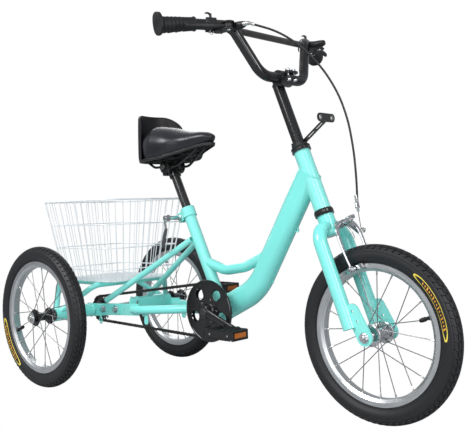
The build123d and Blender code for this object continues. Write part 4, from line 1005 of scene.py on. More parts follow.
# ------------------------------------------------------------------ basket
@dataclass
class Basket:
    """An open wire basket, wider at its rim than at its floor."""

    middle: float = 20
    length: float = 339
    width: float = 322
    taper: float = 80
    floor: float = 291.3
    rim: float = 526.5
    corner_top: float = 45
    corner_floor: float = 35
    wire: float = 1.25
    rim_wire: float = 2.4
    uprights: int = 46
    rows: tuple[float, ...] = (0.0, 0.14, 0.41, 0.70)

    def ring(self, layout: Layout, rise: float, proud: float = 0.0) -> list[Vector]:
        """Points round the basket at a share of its height, equally far along each side."""
        narrow = self.taper * (1 - rise) / 2
        corner = self.corner_floor + (self.corner_top - self.corner_floor) * rise
        height = self.floor + (self.rim - self.floor) * rise
        half_x, half_y = self.length / 2 - narrow - proud, self.width / 2 - narrow - proud
        corners = rounded(half_x, half_y, corner, 8)(0)
        points = [layout.at(self.middle + x, y, height) for x, y in corners]
        return self.spread(points, 184)

    def spread(self, points: list[Vector], count: int) -> list[Vector]:
        """The closed path's points at equal distances."""
        loop = [*points, points[0]]
        lengths = [(b - a).length for a, b in zip(loop, loop[1:])]
        total = sum(lengths)
        result, index, passed = [], 0, 0.0
        for i in range(count):
            goal = total * i / count
            while passed + lengths[index] < goal:
                passed += lengths[index]
                index += 1
            share = (goal - passed) / lengths[index]
            result.append(loop[index].lerp(loop[index + 1], share))
        return result

    def build(self, layout: Layout, palette: Palette) -> None:
        """Weave the basket and stand it on the rack."""
        form = Form()
        for rise in self.rows:
            form.sweep(self.ring(layout, rise, self.wire * 2), self.wire * 1.25, sides=8,
                       up=Vector((0, 0, 1)),
                       closed=True)
        form.sweep(self.ring(layout, 1.0, self.rim_wire), self.rim_wire, sides=10, up=Vector((0, 0, 1)),
                   closed=True)
        rings = {rise: self.ring(layout, rise) for rise in (0.0, 0.35, 0.7, 1.0)}
        step = 184 // self.uprights
        for i in range(0, 184, step):
            wave = 0.0012 * math.sin(i * 1.7)
            path = [rings[rise][i] + Vector((wave * rise, -wave * rise, 0)) for rise in rings]
            path[-1] = rings[1.0][i] - Vector((0, 0, 0.001))
            form.sweep(path, self.wire, sides=6)
        for offset, along_x in self.floor_wires():
            form.sweep(self.floor_path(layout, offset, along_x), self.wire, sides=6, up=Vector((0, 0, 1)))
        form.piece("basket_wires", palette["white_coating"], "frame", Slot.BASKET, ["basket"])

    def floor_wires(self) -> list[tuple[float, bool]]:
        """Each floor wire's distance from the middle and whether it runs fore and aft."""
        half_x, half_y = (self.length - self.taper) / 2, (self.width - self.taper) / 2
        fore = [(half_y * (2 * i / 10 - 1) * 0.92, True) for i in range(11)]
        cross = [(half_x * (2 * i / 16 - 1) * 0.94, False) for i in range(17)]
        return fore + cross

    def floor_path(self, layout: Layout, offset: float, along_x: bool) -> list[Vector]:
        """One floor wire from side to side, inside the round corners."""
        half_x, half_y = (self.length - self.taper) / 2, (self.width - self.taper) / 2
        near, far = (half_y, half_x) if along_x else (half_x, half_y)
        over = max(abs(offset) - (near - self.corner_floor), 0)
        reach = far - self.corner_floor + math.sqrt(max(self.corner_floor**2 - over**2, 0))
        height = self.floor + (self.wire * 1.8 if along_x else 0)
        ends = [(-reach, offset), (reach, offset)] if along_x else [(offset, -reach), (offset, reach)]
        return [layout.at(self.middle + x, y, height) for x, y in ends]


# ------------------------------------------------------------------ chain drive
@dataclass
class ChainDrive:
    """The chain's links, the crank arms and the pedals."""

    pitch: float = 12.7
    links: int = 102
    ring_teeth: int = 36
    sprocket_teeth: int = 18
    side: float = -49
    arm_side: float = 69
    pedal_side: float = 106

    def build(self, layout: Layout, palette: Palette) -> None:
        """Build the links, the arms and the pedals."""
        self.chain(layout, palette)
        self.arms(layout, palette)
        for side in Side:
            self.pedal(layout, palette, side)

    def loop(self, layout: Layout) -> list[Vector]:
        """The chain's pins in order, from the front of the chainring over the top."""
        ring = self.pitch / 2 / math.sin(math.pi / self.ring_teeth) * MM
        sprocket = self.pitch / 2 / math.sin(math.pi / self.sprocket_teeth) * MM
        span = layout.crank - layout.rear
        centres = math.hypot(span.x, span.z)
        tilt = math.atan2(span.z, span.x)
        open_angle = math.acos((ring - sprocket) / centres)
        run = math.sqrt(centres**2 - (ring - sprocket) ** 2)
        top, bottom = tilt + open_angle, tilt - open_angle
        ring_arc, sprocket_arc = ring * top, sprocket * (TURN - 2 * open_angle)
        total = 2 * run + ring * 2 * open_angle + sprocket_arc
        pins = []
        for count in range(self.links):
            way = total * count / self.links
            if way < ring_arc:
                place = self.polar(layout.crank, ring, way / ring)
            elif way < ring_arc + run:
                share = (way - ring_arc) / run
                place = self.polar(layout.crank, ring, top).lerp(self.polar(layout.rear, sprocket, top),
                                                                 share)
            elif way < ring_arc + run + sprocket_arc:
                place = self.polar(layout.rear, sprocket, top + (way - ring_arc - run) / sprocket)
            elif way < ring_arc + 2 * run + sprocket_arc:
                share = (way - ring_arc - run - sprocket_arc) / run
                place = self.polar(layout.rear, sprocket,
                                   bottom).lerp(self.polar(layout.crank, ring, bottom), share)
            else:
                place = self.polar(layout.crank, ring,
                                   bottom + (way - ring_arc - 2 * run - sprocket_arc) / ring)
            pins.append(Vector((place.x, self.side * MM, place.z)))
        return pins

    def polar(self, centre: Vector, radius: float, angle: float) -> Vector:
        """A place round a centre, by angle from straight ahead."""
        return Vector((centre.x + radius * math.cos(angle), 0, centre.z + radius * math.sin(angle)))

    def chain(self, layout: Layout, palette: Palette) -> None:
        """Every link with its two plates, and a roller and a pin at each joint."""
        pins = self.loop(layout)
        across = Vector((0, 1, 0))
        plates, rollers = Form(), Form()
        for count, pin in enumerate(pins):
            after = pins[(count + 1) % len(pins)]
            along = after - pin
            outline = link(along.length / MM, 4.1, 4.1, 0.72, 6)
            low, high = (1.8, 2.6) if count % 2 else (2.75, 3.55)
            lift = across.cross(along)
            for near in (low, -high):
                plates.slab(outline, pin + across * near * MM, along, lift, -(high - low), 0.12)
            rollers.turn(pin, across, [(3.75, -1.6), (3.75, 1.6)], 10)
            rollers.turn(pin, across, [(1.6, -4.0), (1.8, -3.8), (1.8, 3.8), (1.6, 4.0)], 8)
        plates.piece("chain_plates", palette["chain_steel"], "frame", Slot.STEEL, ["chain"])
        rollers.piece("chain_rollers", palette["dark_steel"], "frame", Slot.STEEL)

    def arms(self, layout: Layout, palette: Palette) -> None:
        """Forged crank arms with bosses, dust caps and a round spider at the ring."""
        form, caps = Form(), Form()
        for side, joint in ((Side.RIGHT, "pedal_right_spin"), (Side.LEFT, "pedal_left_spin")):
            end = layout.pivot(joint)
            plane = Vector((0, side.value * self.arm_side * MM, 0))
            start, tip = layout.crank + plane, Vector((end.x, 0, end.z)) + plane
            along = (tip - start).normalized()
            path = [start, start.lerp(tip, 0.2), start.lerp(tip, 0.5), start.lerp(tip, 0.85), tip]
            form.sweep(smooth(path, 4), [12, 11, 9.5, 9, 9.5], [6.3, 6.0, 5.4, 5.6, 6.2], 16,
                       Vector((0, 1, 0)))
            axis = Vector((0, side.value, 0))
            form.turn(start, axis,
                      [(8.2, -6.5), (15, -6.5), (16.5, -5), (16.5, 4.5), (14.5, 6.4), (9, 6.5)], 32)
            form.turn(tip, axis, [(4.6, -6.5), (10.5, -6.5), (12, -5), (12, 5), (10.5, 6.5), (4.6, 6.5)],
                      28)
            form.turn(start.lerp(tip, 0.02), along, [(8.5, 0), (8.5, 10)], 12)
            caps.turn(start + axis * 6.2 * MM, axis, [(8.6, 0), (8.4, 1.2), (6.5, 2.0), (2.0, 2.4)], 24)
            caps.hexagon(tip + axis * 6.6 * MM, axis, 7.4, 3.4)
        axis = Vector((0, -1, 0))
        ring = layout.crank + Vector((0, self.side * MM, 0))
        form.turn(ring, axis, [(17, 1.4), (24, 1.4), (24, 6.2), (20, 8.5), (17.2, 13)], 36)
        form.piece("crank_arms_forged", palette["black_enamel"], "crank", Slot.BLACK, ["crank_arms"])
        caps.piece("crank_caps", palette["dark_steel"], "crank", Slot.STEEL)
        rim = Form()
        guard = layout.crank + Vector((0, -56 * MM, 0))
        rim.turn(guard, axis,
                 [(76.5, 0.9), (80.9, 0.8), (81.2, 1.6), (80.6, 2.9), (78.2, 3.1), (76.6, 1.9)], 96, True)
        rim.turn(guard, axis, [(33.5, 0.9), (36.5, 0.9), (36.5, 1.6), (35.0, 2.2), (33.5, 1.6)], 64, True)
        for count in range(5):
            angle = TURN * count / 5 + math.pi / 5
            start = self.polar(guard, 36 * MM, angle) + Vector((0, guard.y - 1.4 * MM, 0))
            end = self.polar(guard, 78 * MM, angle) + Vector((0, guard.y - 1.4 * MM, 0))
            rim.sweep([start, end], 3.2, 0.9, 8, Vector((0, 1, 0)))
        rim.piece("guard_rim", palette["ring_enamel"], "crank", Slot.BLACK)
        bolts = Form()
        for count in range(5):
            place = self.polar(guard, 29 * MM, TURN * count / 5) + Vector((0, guard.y - 0.8 * MM, 0))
            bolts.turn(place, axis, [(3.8, 0), (3.8, 1.2), (3.0, 1.8), (1.4, 1.8), (1.2, 0.9)], 12)
        bolts.piece("guard_rivets", palette["dark_steel"], "crank", Slot.STEEL)

    def pedal(self, layout: Layout, palette: Palette, side: Side) -> None:
        """A moulded platform pedal with toothed rails about its axle sleeve."""
        name = side.name.lower()
        pivot = layout.pivot(f"pedal_{name}_spin")
        centre = Vector((pivot.x, side.value * self.pedal_side * MM, pivot.z))

        def place(x: float, y: float, z: float) -> Vector:
            """A place from the pedal's centre."""
            return centre + Vector((x, y, z)) * MM

        form = Form()
        for end in (-1, 1):
            for high in (-1, 1):
                form.block(place(end * 43.5, 0, high * 9.4), (6.6, 56, 6.4), 2.4)
            for edge in (-1, 1):
                form.block(place(end * 43.5, edge * 24, 0), (6.6, 8.5, 24), 2.4)
            form.block(place(end * 40.8, 0, 0), (2.4, 46, 16), 1.0)
            form.block(place(0, end * 27, 0), (84, 5, 18), 2.0)
            form.block(place(end * 12.0, 0, 0), (3.4, 52, 17), 1.2)
            form.block(place(end * 27, 0, 0), (4.0, 52, 13), 1.2)
        for edge in (-1, 1):
            for tooth in range(11):
                for high in (-1, 1):
                    x = -36 + tooth * 7.2
                    form.block(place(x, edge * 27, high * 9.6), (4.2, 4.6, 5.6), 1.2)
        form.turn(place(0, -26, 0), Vector((0, 1, 0)),
                  [(4.7, 0), (8.2, 0), (8.8, 3), (8.0, 26), (8.8, 49), (8.2, 52),
                                                        (4.7, 52)], 24, True)
        form.piece(f"pedal_{name}_moulded", palette["moulded_black"], f"pedal_{name}_body", Slot.PLASTIC,
                   [f"pedal_{name}"])
        pins = Form()
        outer = side.value
        pins.turn(place(0, outer * 25.5, 0), Vector((0, outer, 0)),
                  [(6.6, 0), (6.6, 2.6), (5.0, 3.6), (1.5, 3.8)], 16)
        for x in (-30, 30):
            pins.turn(place(x, outer * 28.5, 0), Vector((0, outer, 0)), [(2.6, 0), (2.6, 1.2), (1.0, 1.8)],
                      10)
        pins.piece(f"pedal_{name}_cap", palette["zinc_steel"], f"pedal_{name}_body", Slot.PLASTIC)


# ------------------------------------------------------------------ saddle
@dataclass
class Saddle:
    """A glossy padded saddle on a moulded pan, with a thin curved back."""

    middle: float = 290
    rear: float = 84
    tops: tuple[tuple[float, float], ...] = (
        (188, 714), (215, 725), (245, 729), (275, 728), (310, 720), (345, 711), (380, 706), (410, 707),
        (435, 709),
        (459, 704),
    )
    unders: tuple[tuple[float, float], ...] = (
        (165, 633), (260, 633), (325, 638), (370, 651), (420, 663), (466, 670),
    )
    sides: tuple[tuple[float, float], ...] = ((290, 84), (336, 74), (376, 46), (420, 31), (452, 16),
                                              (459, 0))

    def __post_init__(self) -> None:
        """Draw the smooth curve through the half widths."""
        curve = smooth([Vector((x, y, 0)) for x, y in self.sides], 12)
        self.side_curve = [(point.x, max(point.y, 0)) for point in curve]

    def top(self, x: float) -> float:
        """Height of the pad's ridge, forward of the rear axle."""
        return self.along(self.tops, x)

    def under(self, x: float) -> float:
        """Height of the pad's lower edge."""
        return self.along(self.unders, x)

    def along(self, knots: Sequence[tuple[float, float]], x: float) -> float:
        """A straight reading between knots."""
        if x <= knots[0][0]:
            return knots[0][1]
        for (x0, y0), (x1, y1) in zip(knots, knots[1:]):
            if x0 < x1 and x <= x1:
                return y0 + (y1 - y0) * (x - x0) / (x1 - x0)
        return knots[-1][1]

    def half_width(self, x: float) -> float:
        """The pad's half width at a place forward of the rear axle."""
        if x < self.middle:
            return math.sqrt(max(self.rear**2 - (self.middle - x) ** 2, 0))
        return self.along(self.side_curve, x)

    def edge(self, angle: float, grow: float = 0.0) -> tuple[float, float]:
        """The plan outline by angle about the pad's middle: forward and left."""
        low, high = 0.0, 169.0
        for _ in range(24):
            reach = (low + high) / 2
            if reach * abs(math.sin(angle)) < self.half_width(self.middle + reach * math.cos(angle)):
                low = reach
            else:
                high = reach
        reach = low + grow
        return self.middle + reach * math.cos(angle), reach * math.sin(angle)

    def build(self, layout: Layout, palette: Palette) -> None:
        """Build the pad, its seam, the pan, the back and the clamp."""
        self.pad(layout, palette)
        self.pan(layout, palette)
        self.back(layout, palette)
        self.clamp(layout, palette)

    def pad_point(self, layout: Layout, angle: float, share: float, sink: float) -> Vector:
        """A place on the pad.

        Args:
            layout: the machine's places.
            angle: angle about the pad's middle.
            share: 0 at the middle, 1 at the widest edge.
            sink: 0 at the widest level, 1 at the lower edge.
        """
        edge_x, edge_y = self.edge(angle)
        x = self.middle + (edge_x - self.middle) * share
        y = edge_y * share
        top, low = self.top(x), self.under(x)
        waist = low + (top - low) * 0.42
        dome = (1 - share**2.6) ** 0.52 if share < 1 else 0.0
        if sink:
            tuck = 1 - 0.085 * sink**1.6
            x, y = self.middle + (edge_x - self.middle) * tuck, edge_y * tuck
            height = waist + (self.under(x) + 1 - waist) * math.sin(sink * math.pi / 2)
        else:
            height = waist + (top - waist) * dome
            valley = math.exp(-((y / 26) ** 2)) * ease(340 - x, 10, 130) * 4.0
            height -= valley * (1 - share)
        return layout.at(x, y, height)

    def pad(self, layout: Layout, palette: Palette) -> None:
        """The crowned pad, and the piped seam round its lower edge."""
        steps = 96
        shares = (0.06, 0.2, 0.35, 0.5, 0.63, 0.74, 0.83, 0.9, 0.95, 0.98, 0.995, 1.0)
        sinks = (0.18, 0.38, 0.6, 0.8, 0.93, 1.0)
        rings = [[self.pad_point(layout, TURN * i / steps, share,
                                 0) for i in range(steps)] for share in shares]
        rings += [[self.pad_point(layout, TURN * i / steps, 1,
                                  sink) for i in range(steps)] for sink in sinks]
        rings += [[self.pad_point(layout, TURN * i / steps, 1, 1).lerp(layout.at(self.middle, 0, 642), t)
                   for i in range(steps)] for t in (0.06, 0.3, 0.7)]
        form = Form()
        form.stack(rings)
        pad = form.piece("saddle_pad", palette["glossy_vinyl"], "seat", Slot.VINYL, ["saddle_cover"],
                         crease=60,
                         subdivide=1)
        piping = Form()
        path = [self.pad_point(layout, TURN * i / steps, 1,
                               0.97) - Vector((0, 0, 0.0006)) for i in range(steps)]
        piping.sweep(path, 1.9, sides=8, up=Vector((0, 0, 1)), closed=True)
        piping.piece("saddle_seam", palette["satin_black"], "seat", Slot.VINYL)
        stitches = Form()
        for i in range(0, steps * 3):
            angle = TURN * i / (steps * 3)
            a = self.pad_point(layout, angle, 1, 0.80)
            b = self.pad_point(layout, angle + 0.012, 1, 0.80)
            out = Vector((a.x - layout.at(self.middle, 0, 0).x, a.y, 0)).normalized() * 0.0003
            stitches.sweep([a + out, a.lerp(b, 0.5) + out * 2.4, b + out], 0.5, sides=5,
                           up=Vector((0, 0, 1)))
        stitches.piece("saddle_stitches", palette["satin_black"], "seat", Slot.VINYL)

    def pan(self, layout: Layout, palette: Palette) -> None:
        """The moulded pan with a turned-down lip and stiffening ribs."""
        steps = 96
        rings = []
        for grow, drop in ((-16, 2.5), (-4, 2.0), (0.5, 0.6), (1.2, -1.5), (0.4, -6.4), (-3.2, -6.6),
                           (-5, -2.6),
                           (-16, -1.6)):
            ring = []
            for i in range(steps):
                angle = TURN * i / steps
                back = 10.5 * ease(-math.cos(angle), -0.2, 0.7)
                x, y = self.edge(angle, grow - 3.5 + back)
                ring.append(layout.at(x, y, self.under(x) - 0.6 + drop))
            rings.append(ring)
        form = Form()
        form.stack(rings, closed=True)
        deck = []
        for share, lift in ((0.03, 2), (0.92, 2), (0.92, -0.5), (0.03, -0.5)):
            ring = []
            for i in range(steps):
                x, y = self.edge(TURN * i / steps, -6)
                x, y = self.middle + (x - self.middle) * share, y * share
                ring.append(layout.at(x, y, self.under(x) + lift))
            deck.append(ring)
        form.stack(deck)
        for offset in (-40, -20, 0, 20, 40):
            reach = 330 + (40 - abs(offset)) * 2.4
            path = [layout.at(x, offset * min(1, (reach + 45 - x) / 100), self.under(x) - 3.4)
                    for x in (226, 255, 290, 325, reach)]
            form.sweep(path, 1.4, 3.6, 6, Vector((0, 0, 1)))
        for x in (228, 260, 290, 325, 358, 388, 415):
            half = max(self.half_width(x) - 14, 6)
            form.sweep([layout.at(x, -half, self.under(x) - 2.8), layout.at(x, half, self.under(x) - 2.8)],
                       1.3, 3.2,
                       6, Vector((0, 0, 1)))
        form.piece("saddle_pan", palette["moulded_black"], "seat", Slot.PLASTIC, ["saddle_base"])

    def back(self, layout: Layout, palette: Palette) -> None:
        """The thin curved back, round at its upper corners."""
        across, up = 36, 14
        rings = []
        for u in range(across + 1):
            y = 77.5 * math.sin((u / across * 2 - 1) * math.pi / 2)
            corner = max(abs(y) - 36, 0)
            top = 763 - 42 + math.sqrt(max(42**2 - corner**2, 4))
            ring = []
            for outer, order in ((93.6, range(up + 1)), (87.4, range(up, -1, -1))):
                for v in order:
                    t = v / up
                    round_in = 0.6 if v in (0, up) else 0.0
                    reach = outer - round_in * (1 if outer > 90 else -1) - 2.5 * t**2
                    z = 633 + (top - 633) * (1 - (1 - t) ** 1.3)
                    x = self.middle - math.sqrt(max(reach**2 - y**2, 0))
                    ring.append(layout.at(x, y, z))
            rings.append(ring)
        form = Form()
        form.stack(rings)
        form.piece("saddle_back", palette["moulded_black"], "seat", Slot.PLASTIC, ["backrest"], crease=40)
        lip = Form()
        path = []
        for u in range(across + 1):
            y = 76.5 * math.sin((u / across * 2 - 1) * math.pi / 2)
            corner = max(abs(y) - 36, 0)
            top = 762.4 - 42 + math.sqrt(max(42**2 - corner**2, 4))
            path.append(layout.at(self.middle - math.sqrt(88.0**2 - y**2), y, top - 1.6))
        lip.sweep(path, 3.4, 1.9, 8, Vector((0, 0, 1)))
        lip.piece("saddle_back_lip", palette["satin_black"], "seat", Slot.PLASTIC)

    def clamp(self, layout: Layout, palette: Palette) -> None:
        """Toothed cheeks, a clamp band and bolts at the head of the seat post."""
        form, bolts = Form(), Form()
        centre = layout.at(291, 0, 612)
        for side in (-1, 1):
            axis = Vector((0, side, 0))
            face = centre + axis * 28.2 * MM
            form.turn(face, axis, [(4, 0), (16.5, 0), (17.2, 1), (17.2, 4), (14, 5.5), (4, 5.5)], 28)
            for tooth in range(16):
                angle = TURN * tooth / 16
                place = face + Vector((math.cos(angle), 0, math.sin(angle))) * 0.0168
                form.turn(place, axis, [(1.5, 0.4), (1.5, 4.4)], 6)
            form.block(layout.at(291, side * 25.5, 601), (30, 10, 9), 3)
            bolts.hexagon(face + axis * 5.3 * MM, axis, 8.2, 6)
            bolts.turn(face + axis * 11 * MM, axis, [(4, 0), (4, 3.5), (3, 4.2)], 14)
        lug = layout.at(268, 0, 596)
        form.block(lug, (20, 22, 15), 4)
        bolts.turn(lug + Vector((-0.010, 0, -0.002)), Vector((-1, 0, 0)), [(5, 0), (5, 3.5), (3.8, 4.6)],
                   16)
        form.piece("saddle_clamp_cheeks", palette["satin_black"], "seat", Slot.BLACK)
        bolts.piece("saddle_clamp_bolts", palette["dark_steel"], "seat", Slot.STEEL)


# ------------------------------------------------------------------ steering and controls
@dataclass
class Controls:
    """Grips, brake levers, stem fittings and the bracket's bolts."""

    grip_length: float = 94
    bar_inner: tuple[float, float, float] = (612, 205, 919)
    bar_end: tuple[float, float, float] = (586, 289.6, 908)
    bar_bend: tuple[float, float, float] = (667, 138, 914)
    lever_centre: tuple[float, float, float] = (690, 170, 906)

    def build(self, layout: Layout, palette: Palette) -> None:
        """Build both sides of the bar and the fittings of the stem."""
        for side in Side:
            self.grip(layout, palette, side)
            self.lever(layout, palette, side)
        self.stem(layout, palette)

    def place(self, form: Form, side: Side) -> Form:
        """A form made for the left, on the side where it belongs."""
        return form if side is Side.LEFT else form.mirrored()

    def grip(self, layout: Layout, palette: Palette, side: Side) -> None:
        """A ribbed grip with finger hollows and a tall end flange."""
        end, inner = layout.at(*self.bar_end), layout.at(*self.bar_inner)
        along = (end - inner).normalized()
        start = end + along * (3 - self.grip_length) * MM
        across = along.cross(Vector((0, 0, 1))).normalized()
        lift = across.cross(along)
        steps, rings = 36, []
        stations = [i * 1.0 for i in range(0, 88)] + [88.5, 89.3, 90.2, 91.5, 93.2, 94.0]
        for s in stations:
            base = 15.8 + 2.9 * ease(s, 0, 88)
            if s < 4:
                base += 1.6 * math.sin(math.pi * s / 4)
            flare = ease(s, 84, 90)
            ring = []
            for i in range(steps):
                angle = TURN * i / steps
                upward, frontward = math.sin(angle), -math.cos(angle)
                radius = base
                if 26 < s < 84:
                    rib = max(math.sin((s - 26) / 5.0 * math.pi), 0) ** 0.7
                    radius += 0.7 * rib * ease(s, 26, 34) * ease(84 - s, 0, 6)
                    hollow = 0.5 - 0.5 * math.cos(TURN * (s - 8) / 19)
                    radius -= 2.1 * hollow * max(-0.4 * upward + 0.8 * frontward, 0) ** 0.8
                flange = 4.2 + 7.0 * max(upward, 0) ** 2 + 2.0 * max(frontward, 0)
                radius += flare * flange * (1.0 if s < 93.5 else 0.93)
                bulge = -0.004 * flare * max(upward, 0) ** 2
                ring.append(start + along * (s * MM + bulge * (1 if s < 90 else -1.6) * 0.4)
                            + (across * math.cos(angle) + lift * upward) * radius * MM)
            rings.append(ring)
        cap = [p.lerp(start + along * self.grip_length * MM, 0.55) for p in rings[-1]]
        inside = [p.lerp(start + along * self.grip_length * MM, 0.9) - along * 0.0015 for p in rings[-1]]
        form = Form()
        form.stack([*rings, cap, inside])
        nodes = ["grips"] if side is Side.LEFT else []
        self.place(form, side).piece(f"grip_{side.name.lower()}", palette["ribbed_rubber"], "steering",
                                     Slot.RUBBER,
                                     nodes, crease=55)

    def lever(self, layout: Layout, palette: Palette, side: Side) -> None:
        """A moulded perch with two cheeks, its clamp, latch, hook and pin, and the lever blade."""
        name = side.name.lower()
        x_dir, y_dir, up = Vector((1, 0, 0)), Vector((0, 1, 0)), Vector((0, 0, 1))
        pivot = layout.at(*self.lever_centre)
        inner, bend = layout.at(*self.bar_inner), layout.at(*self.bar_bend)
        along = (inner - bend).normalized()
        ring = layout.at(637, 174.5, 916.7)
        perch, trim = Form(), Form()
        perch.turn(ring - along * 0.0125, along,
                   [(13.0, 0), (16.4, 0), (17.2, 1.2), (17.2, 23.8), (16.4, 25),
                                                  (13.0, 25)], 32, True)
        nose = layout.at(720, 150, 906)
        body = [layout.at(652, 171, 912), layout.at(668, 160, 909), layout.at(690, 152, 906),
                layout.at(708, 151, 906),
                nose]
        perch.sweep(smooth(body, 5), [15, 13, 10, 8.5, 7.2], [13, 11.5, 10, 9, 7.2], 16, up)
        away = pivot - layout.at(655, 168, 906)
        for low in (5.6, -9.6):
            origin = layout.at(655, 168, 906) + up * low * MM
            perch.slab(link(away.length / MM, 13, 13.5, 1.05, 8), origin, away, up.cross(away), 4.0, 1.2)
        latch = layout.at(640, 178, 931)
        perch.turn(latch, up, [(3.4, -6), (3.2, 6), (2.8, 11)], 12)
        thumb = [latch + up * 0.008, latch + Vector((-0.006, 0.002, 0.013)),
                 latch + Vector((-0.014, 0.003, 0.014))]
        perch.sweep(smooth(thumb, 5), [4.0, 4.6, 2.4], [2.8, 2.4, 1.4], 12, up)
        placed = self.place(perch, side)
        nodes = ["lever_perches"] if side is Side.LEFT else []
        placed.piece(f"lever_perch_{name}", palette["moulded_black"], "steering", Slot.PLASTIC, nodes)
        for offset in (-8, 8):
            screw = ring + along * offset * MM * 0.5 - up * 0.0162
            trim.turn(screw, -up, [(3.0, 0), (3.0, 1.6), (2.2, 2.2), (1.2, 2.2), (1.1, 1.2)], 12)
        trim.turn(pivot + up * 9.4 * MM, up, [(5.2, 0), (5.0, 1.4), (3.4, 2.4), (1.0, 2.6)], 18)
        trim.turn(pivot - up * 9.4 * MM, -up, [(5.2, 0), (5.0, 1.4), (3.4, 2.4), (1.0, 2.6)], 18)
        hook_root = layout.at(655, 190, 899)
        hook = [hook_root + Vector((math.cos(t) * 0.006, 0, math.sin(t) * 0.006 - 0.004))
                for t in (math.pi * (0.6 + 0.14 * i) for i in range(11))]
        trim.sweep(hook, 0.7, sides=6, up=Vector((0, 1, 0)))
        self.place(trim, side).piece(f"lever_trim_{name}", palette["zinc_steel"], "steering", Slot.CHROME)
        pin = Form()
        pin.turn(layout.at(672, 176, 897), -up, [(2.4, -2), (2.4, 7), (1.8, 8)], 10)
        self.place(pin, side).piece(f"lever_pin_{name}", palette["satin_black"], "steering", Slot.PLASTIC)
        blade = Form()
        path = [layout.at(685, 172, 906), layout.at(674, 186, 906.5), layout.at(662, 208, 906),
                layout.at(652, 236, 904), layout.at(645, 258, 902), layout.at(643, 263, 901.8)]
        blade.sweep(smooth(path, 6), [5.0, 4.2, 3.6, 3.6, 4.2, 2.6], [5.2, 6.4, 7.2, 7.0, 6.0, 3.2], 14, up)
        blade.turn(pivot, up, [(5.05, -4.9), (9.0, -4.9), (9.8, -4.2), (9.8, 4.2), (9.0, 4.9), (5.05, 4.9)],
                   28, True)
        node = f"brake_lever_{name}"
        self.place(blade, side).piece(f"lever_blade_{name}", palette["moulded_black"], f"{node}_body",
                                      Slot.PLASTIC,
                                      [node])

    def stem(self, layout: Layout, palette: Palette) -> None:
        """Clamp ears with bright bolts, the expander bolt and rings on the head tube."""
        clamp = layout.at(705, 0, 800)
        ears, bolts, rings = Form(), Form(), Form()
        ahead = Vector((math.cos(0.2), 0, math.sin(0.2)))
        up = Vector((-math.sin(0.2), 0, math.cos(0.2)))
        side = Vector((0, 1, 0))
        for lift in (3.0, -9.5):
            origin = clamp + ahead * 0.024 + up * lift * MM
            ears.slab(rounded(11, 20, 5), origin, ahead, side, 6.5, 1.4)
        for offset in (-11, 11):
            place = clamp + ahead * 0.026 + Vector((0, offset * MM, 0))
            bolts.turn(place, up, [(3.0, -13), (3.0, 15)], 12)
            bolts.turn(place + up * 9.6 * MM, up,
                       [(6.0, 0), (6.2, 1.2), (6.0, 5.6), (4.6, 6.4), (2.4, 6.4), (2.2, 3)], 18)
            bolts.hexagon(place - up * 9.6 * MM, -up, 6.4, 4.6)
            bolts.turn(place + up * 9.0 * MM, up, [(7.2, 0), (7.2, 1.0)], 20)
        top = layout.steer(0, 0, 348)
        bolts.hexagon(top - layout.head_up * 0.0004, layout.head_up, 7.0, 5.0)
        ears.turn(top - layout.head_up * 0.004, layout.head_up,
                  [(14.2, -3), (14.6, 0), (13.4, 2.6), (8, 4.2)], 32)
        ears.piece("stem_clamp_ears", palette["black_enamel"], "steering", Slot.BLACK)
        bolts.piece("stem_bolts", palette["bright_chrome"], "steering", Slot.CHROME)
        for height, radius in ((-3.2, 22.6), (8.8, 21.6)):
            rings.turn(layout.steer(0, 0, height), layout.head_up,
                       [(20.2, -1.5), (radius, -1.5), (radius + 0.9, 0),
                                                                   (radius, 1.5), (20.2, 1.5)], 48, True)
        for height in (162.5, 172.0):
            rings.turn(layout.steer(0, 0, height), layout.head_up, [(20.2, -1.4), (23.2, -1.4), (24.0, 0),
                                                                   (23.2, 1.4), (20.2, 1.4)], 48, True)
        rings.piece("headset_lips", palette["black_enamel"], "frame", Slot.BLACK)
        studs = Form()
        bracket = Vector(self.mount(layout))
        for offset in (-22, 22):
            place = bracket + Vector((0.00125, offset * MM, 0))
            studs.turn(place, Vector((1, 0, 0)),
                       [(3.3, -2.6), (5.4, -2.6), (5.6, -2.5), (5.6, 0), (5.0, 0.5),
                                                  (3.3, 0.5)], 20, True)
        studs.piece("bracket_eyelets", palette["zinc_steel"], "steering", Slot.CHROME)

    def mount(self, layout: Layout) -> tuple[float, float, float]:
        """The bracket's place from the record."""
        mounts = {mount["name"]: mount for mount in layout.frame["record"]["mounts"]}
        return tuple(mounts["accessory_bracket"]["pos_m"])


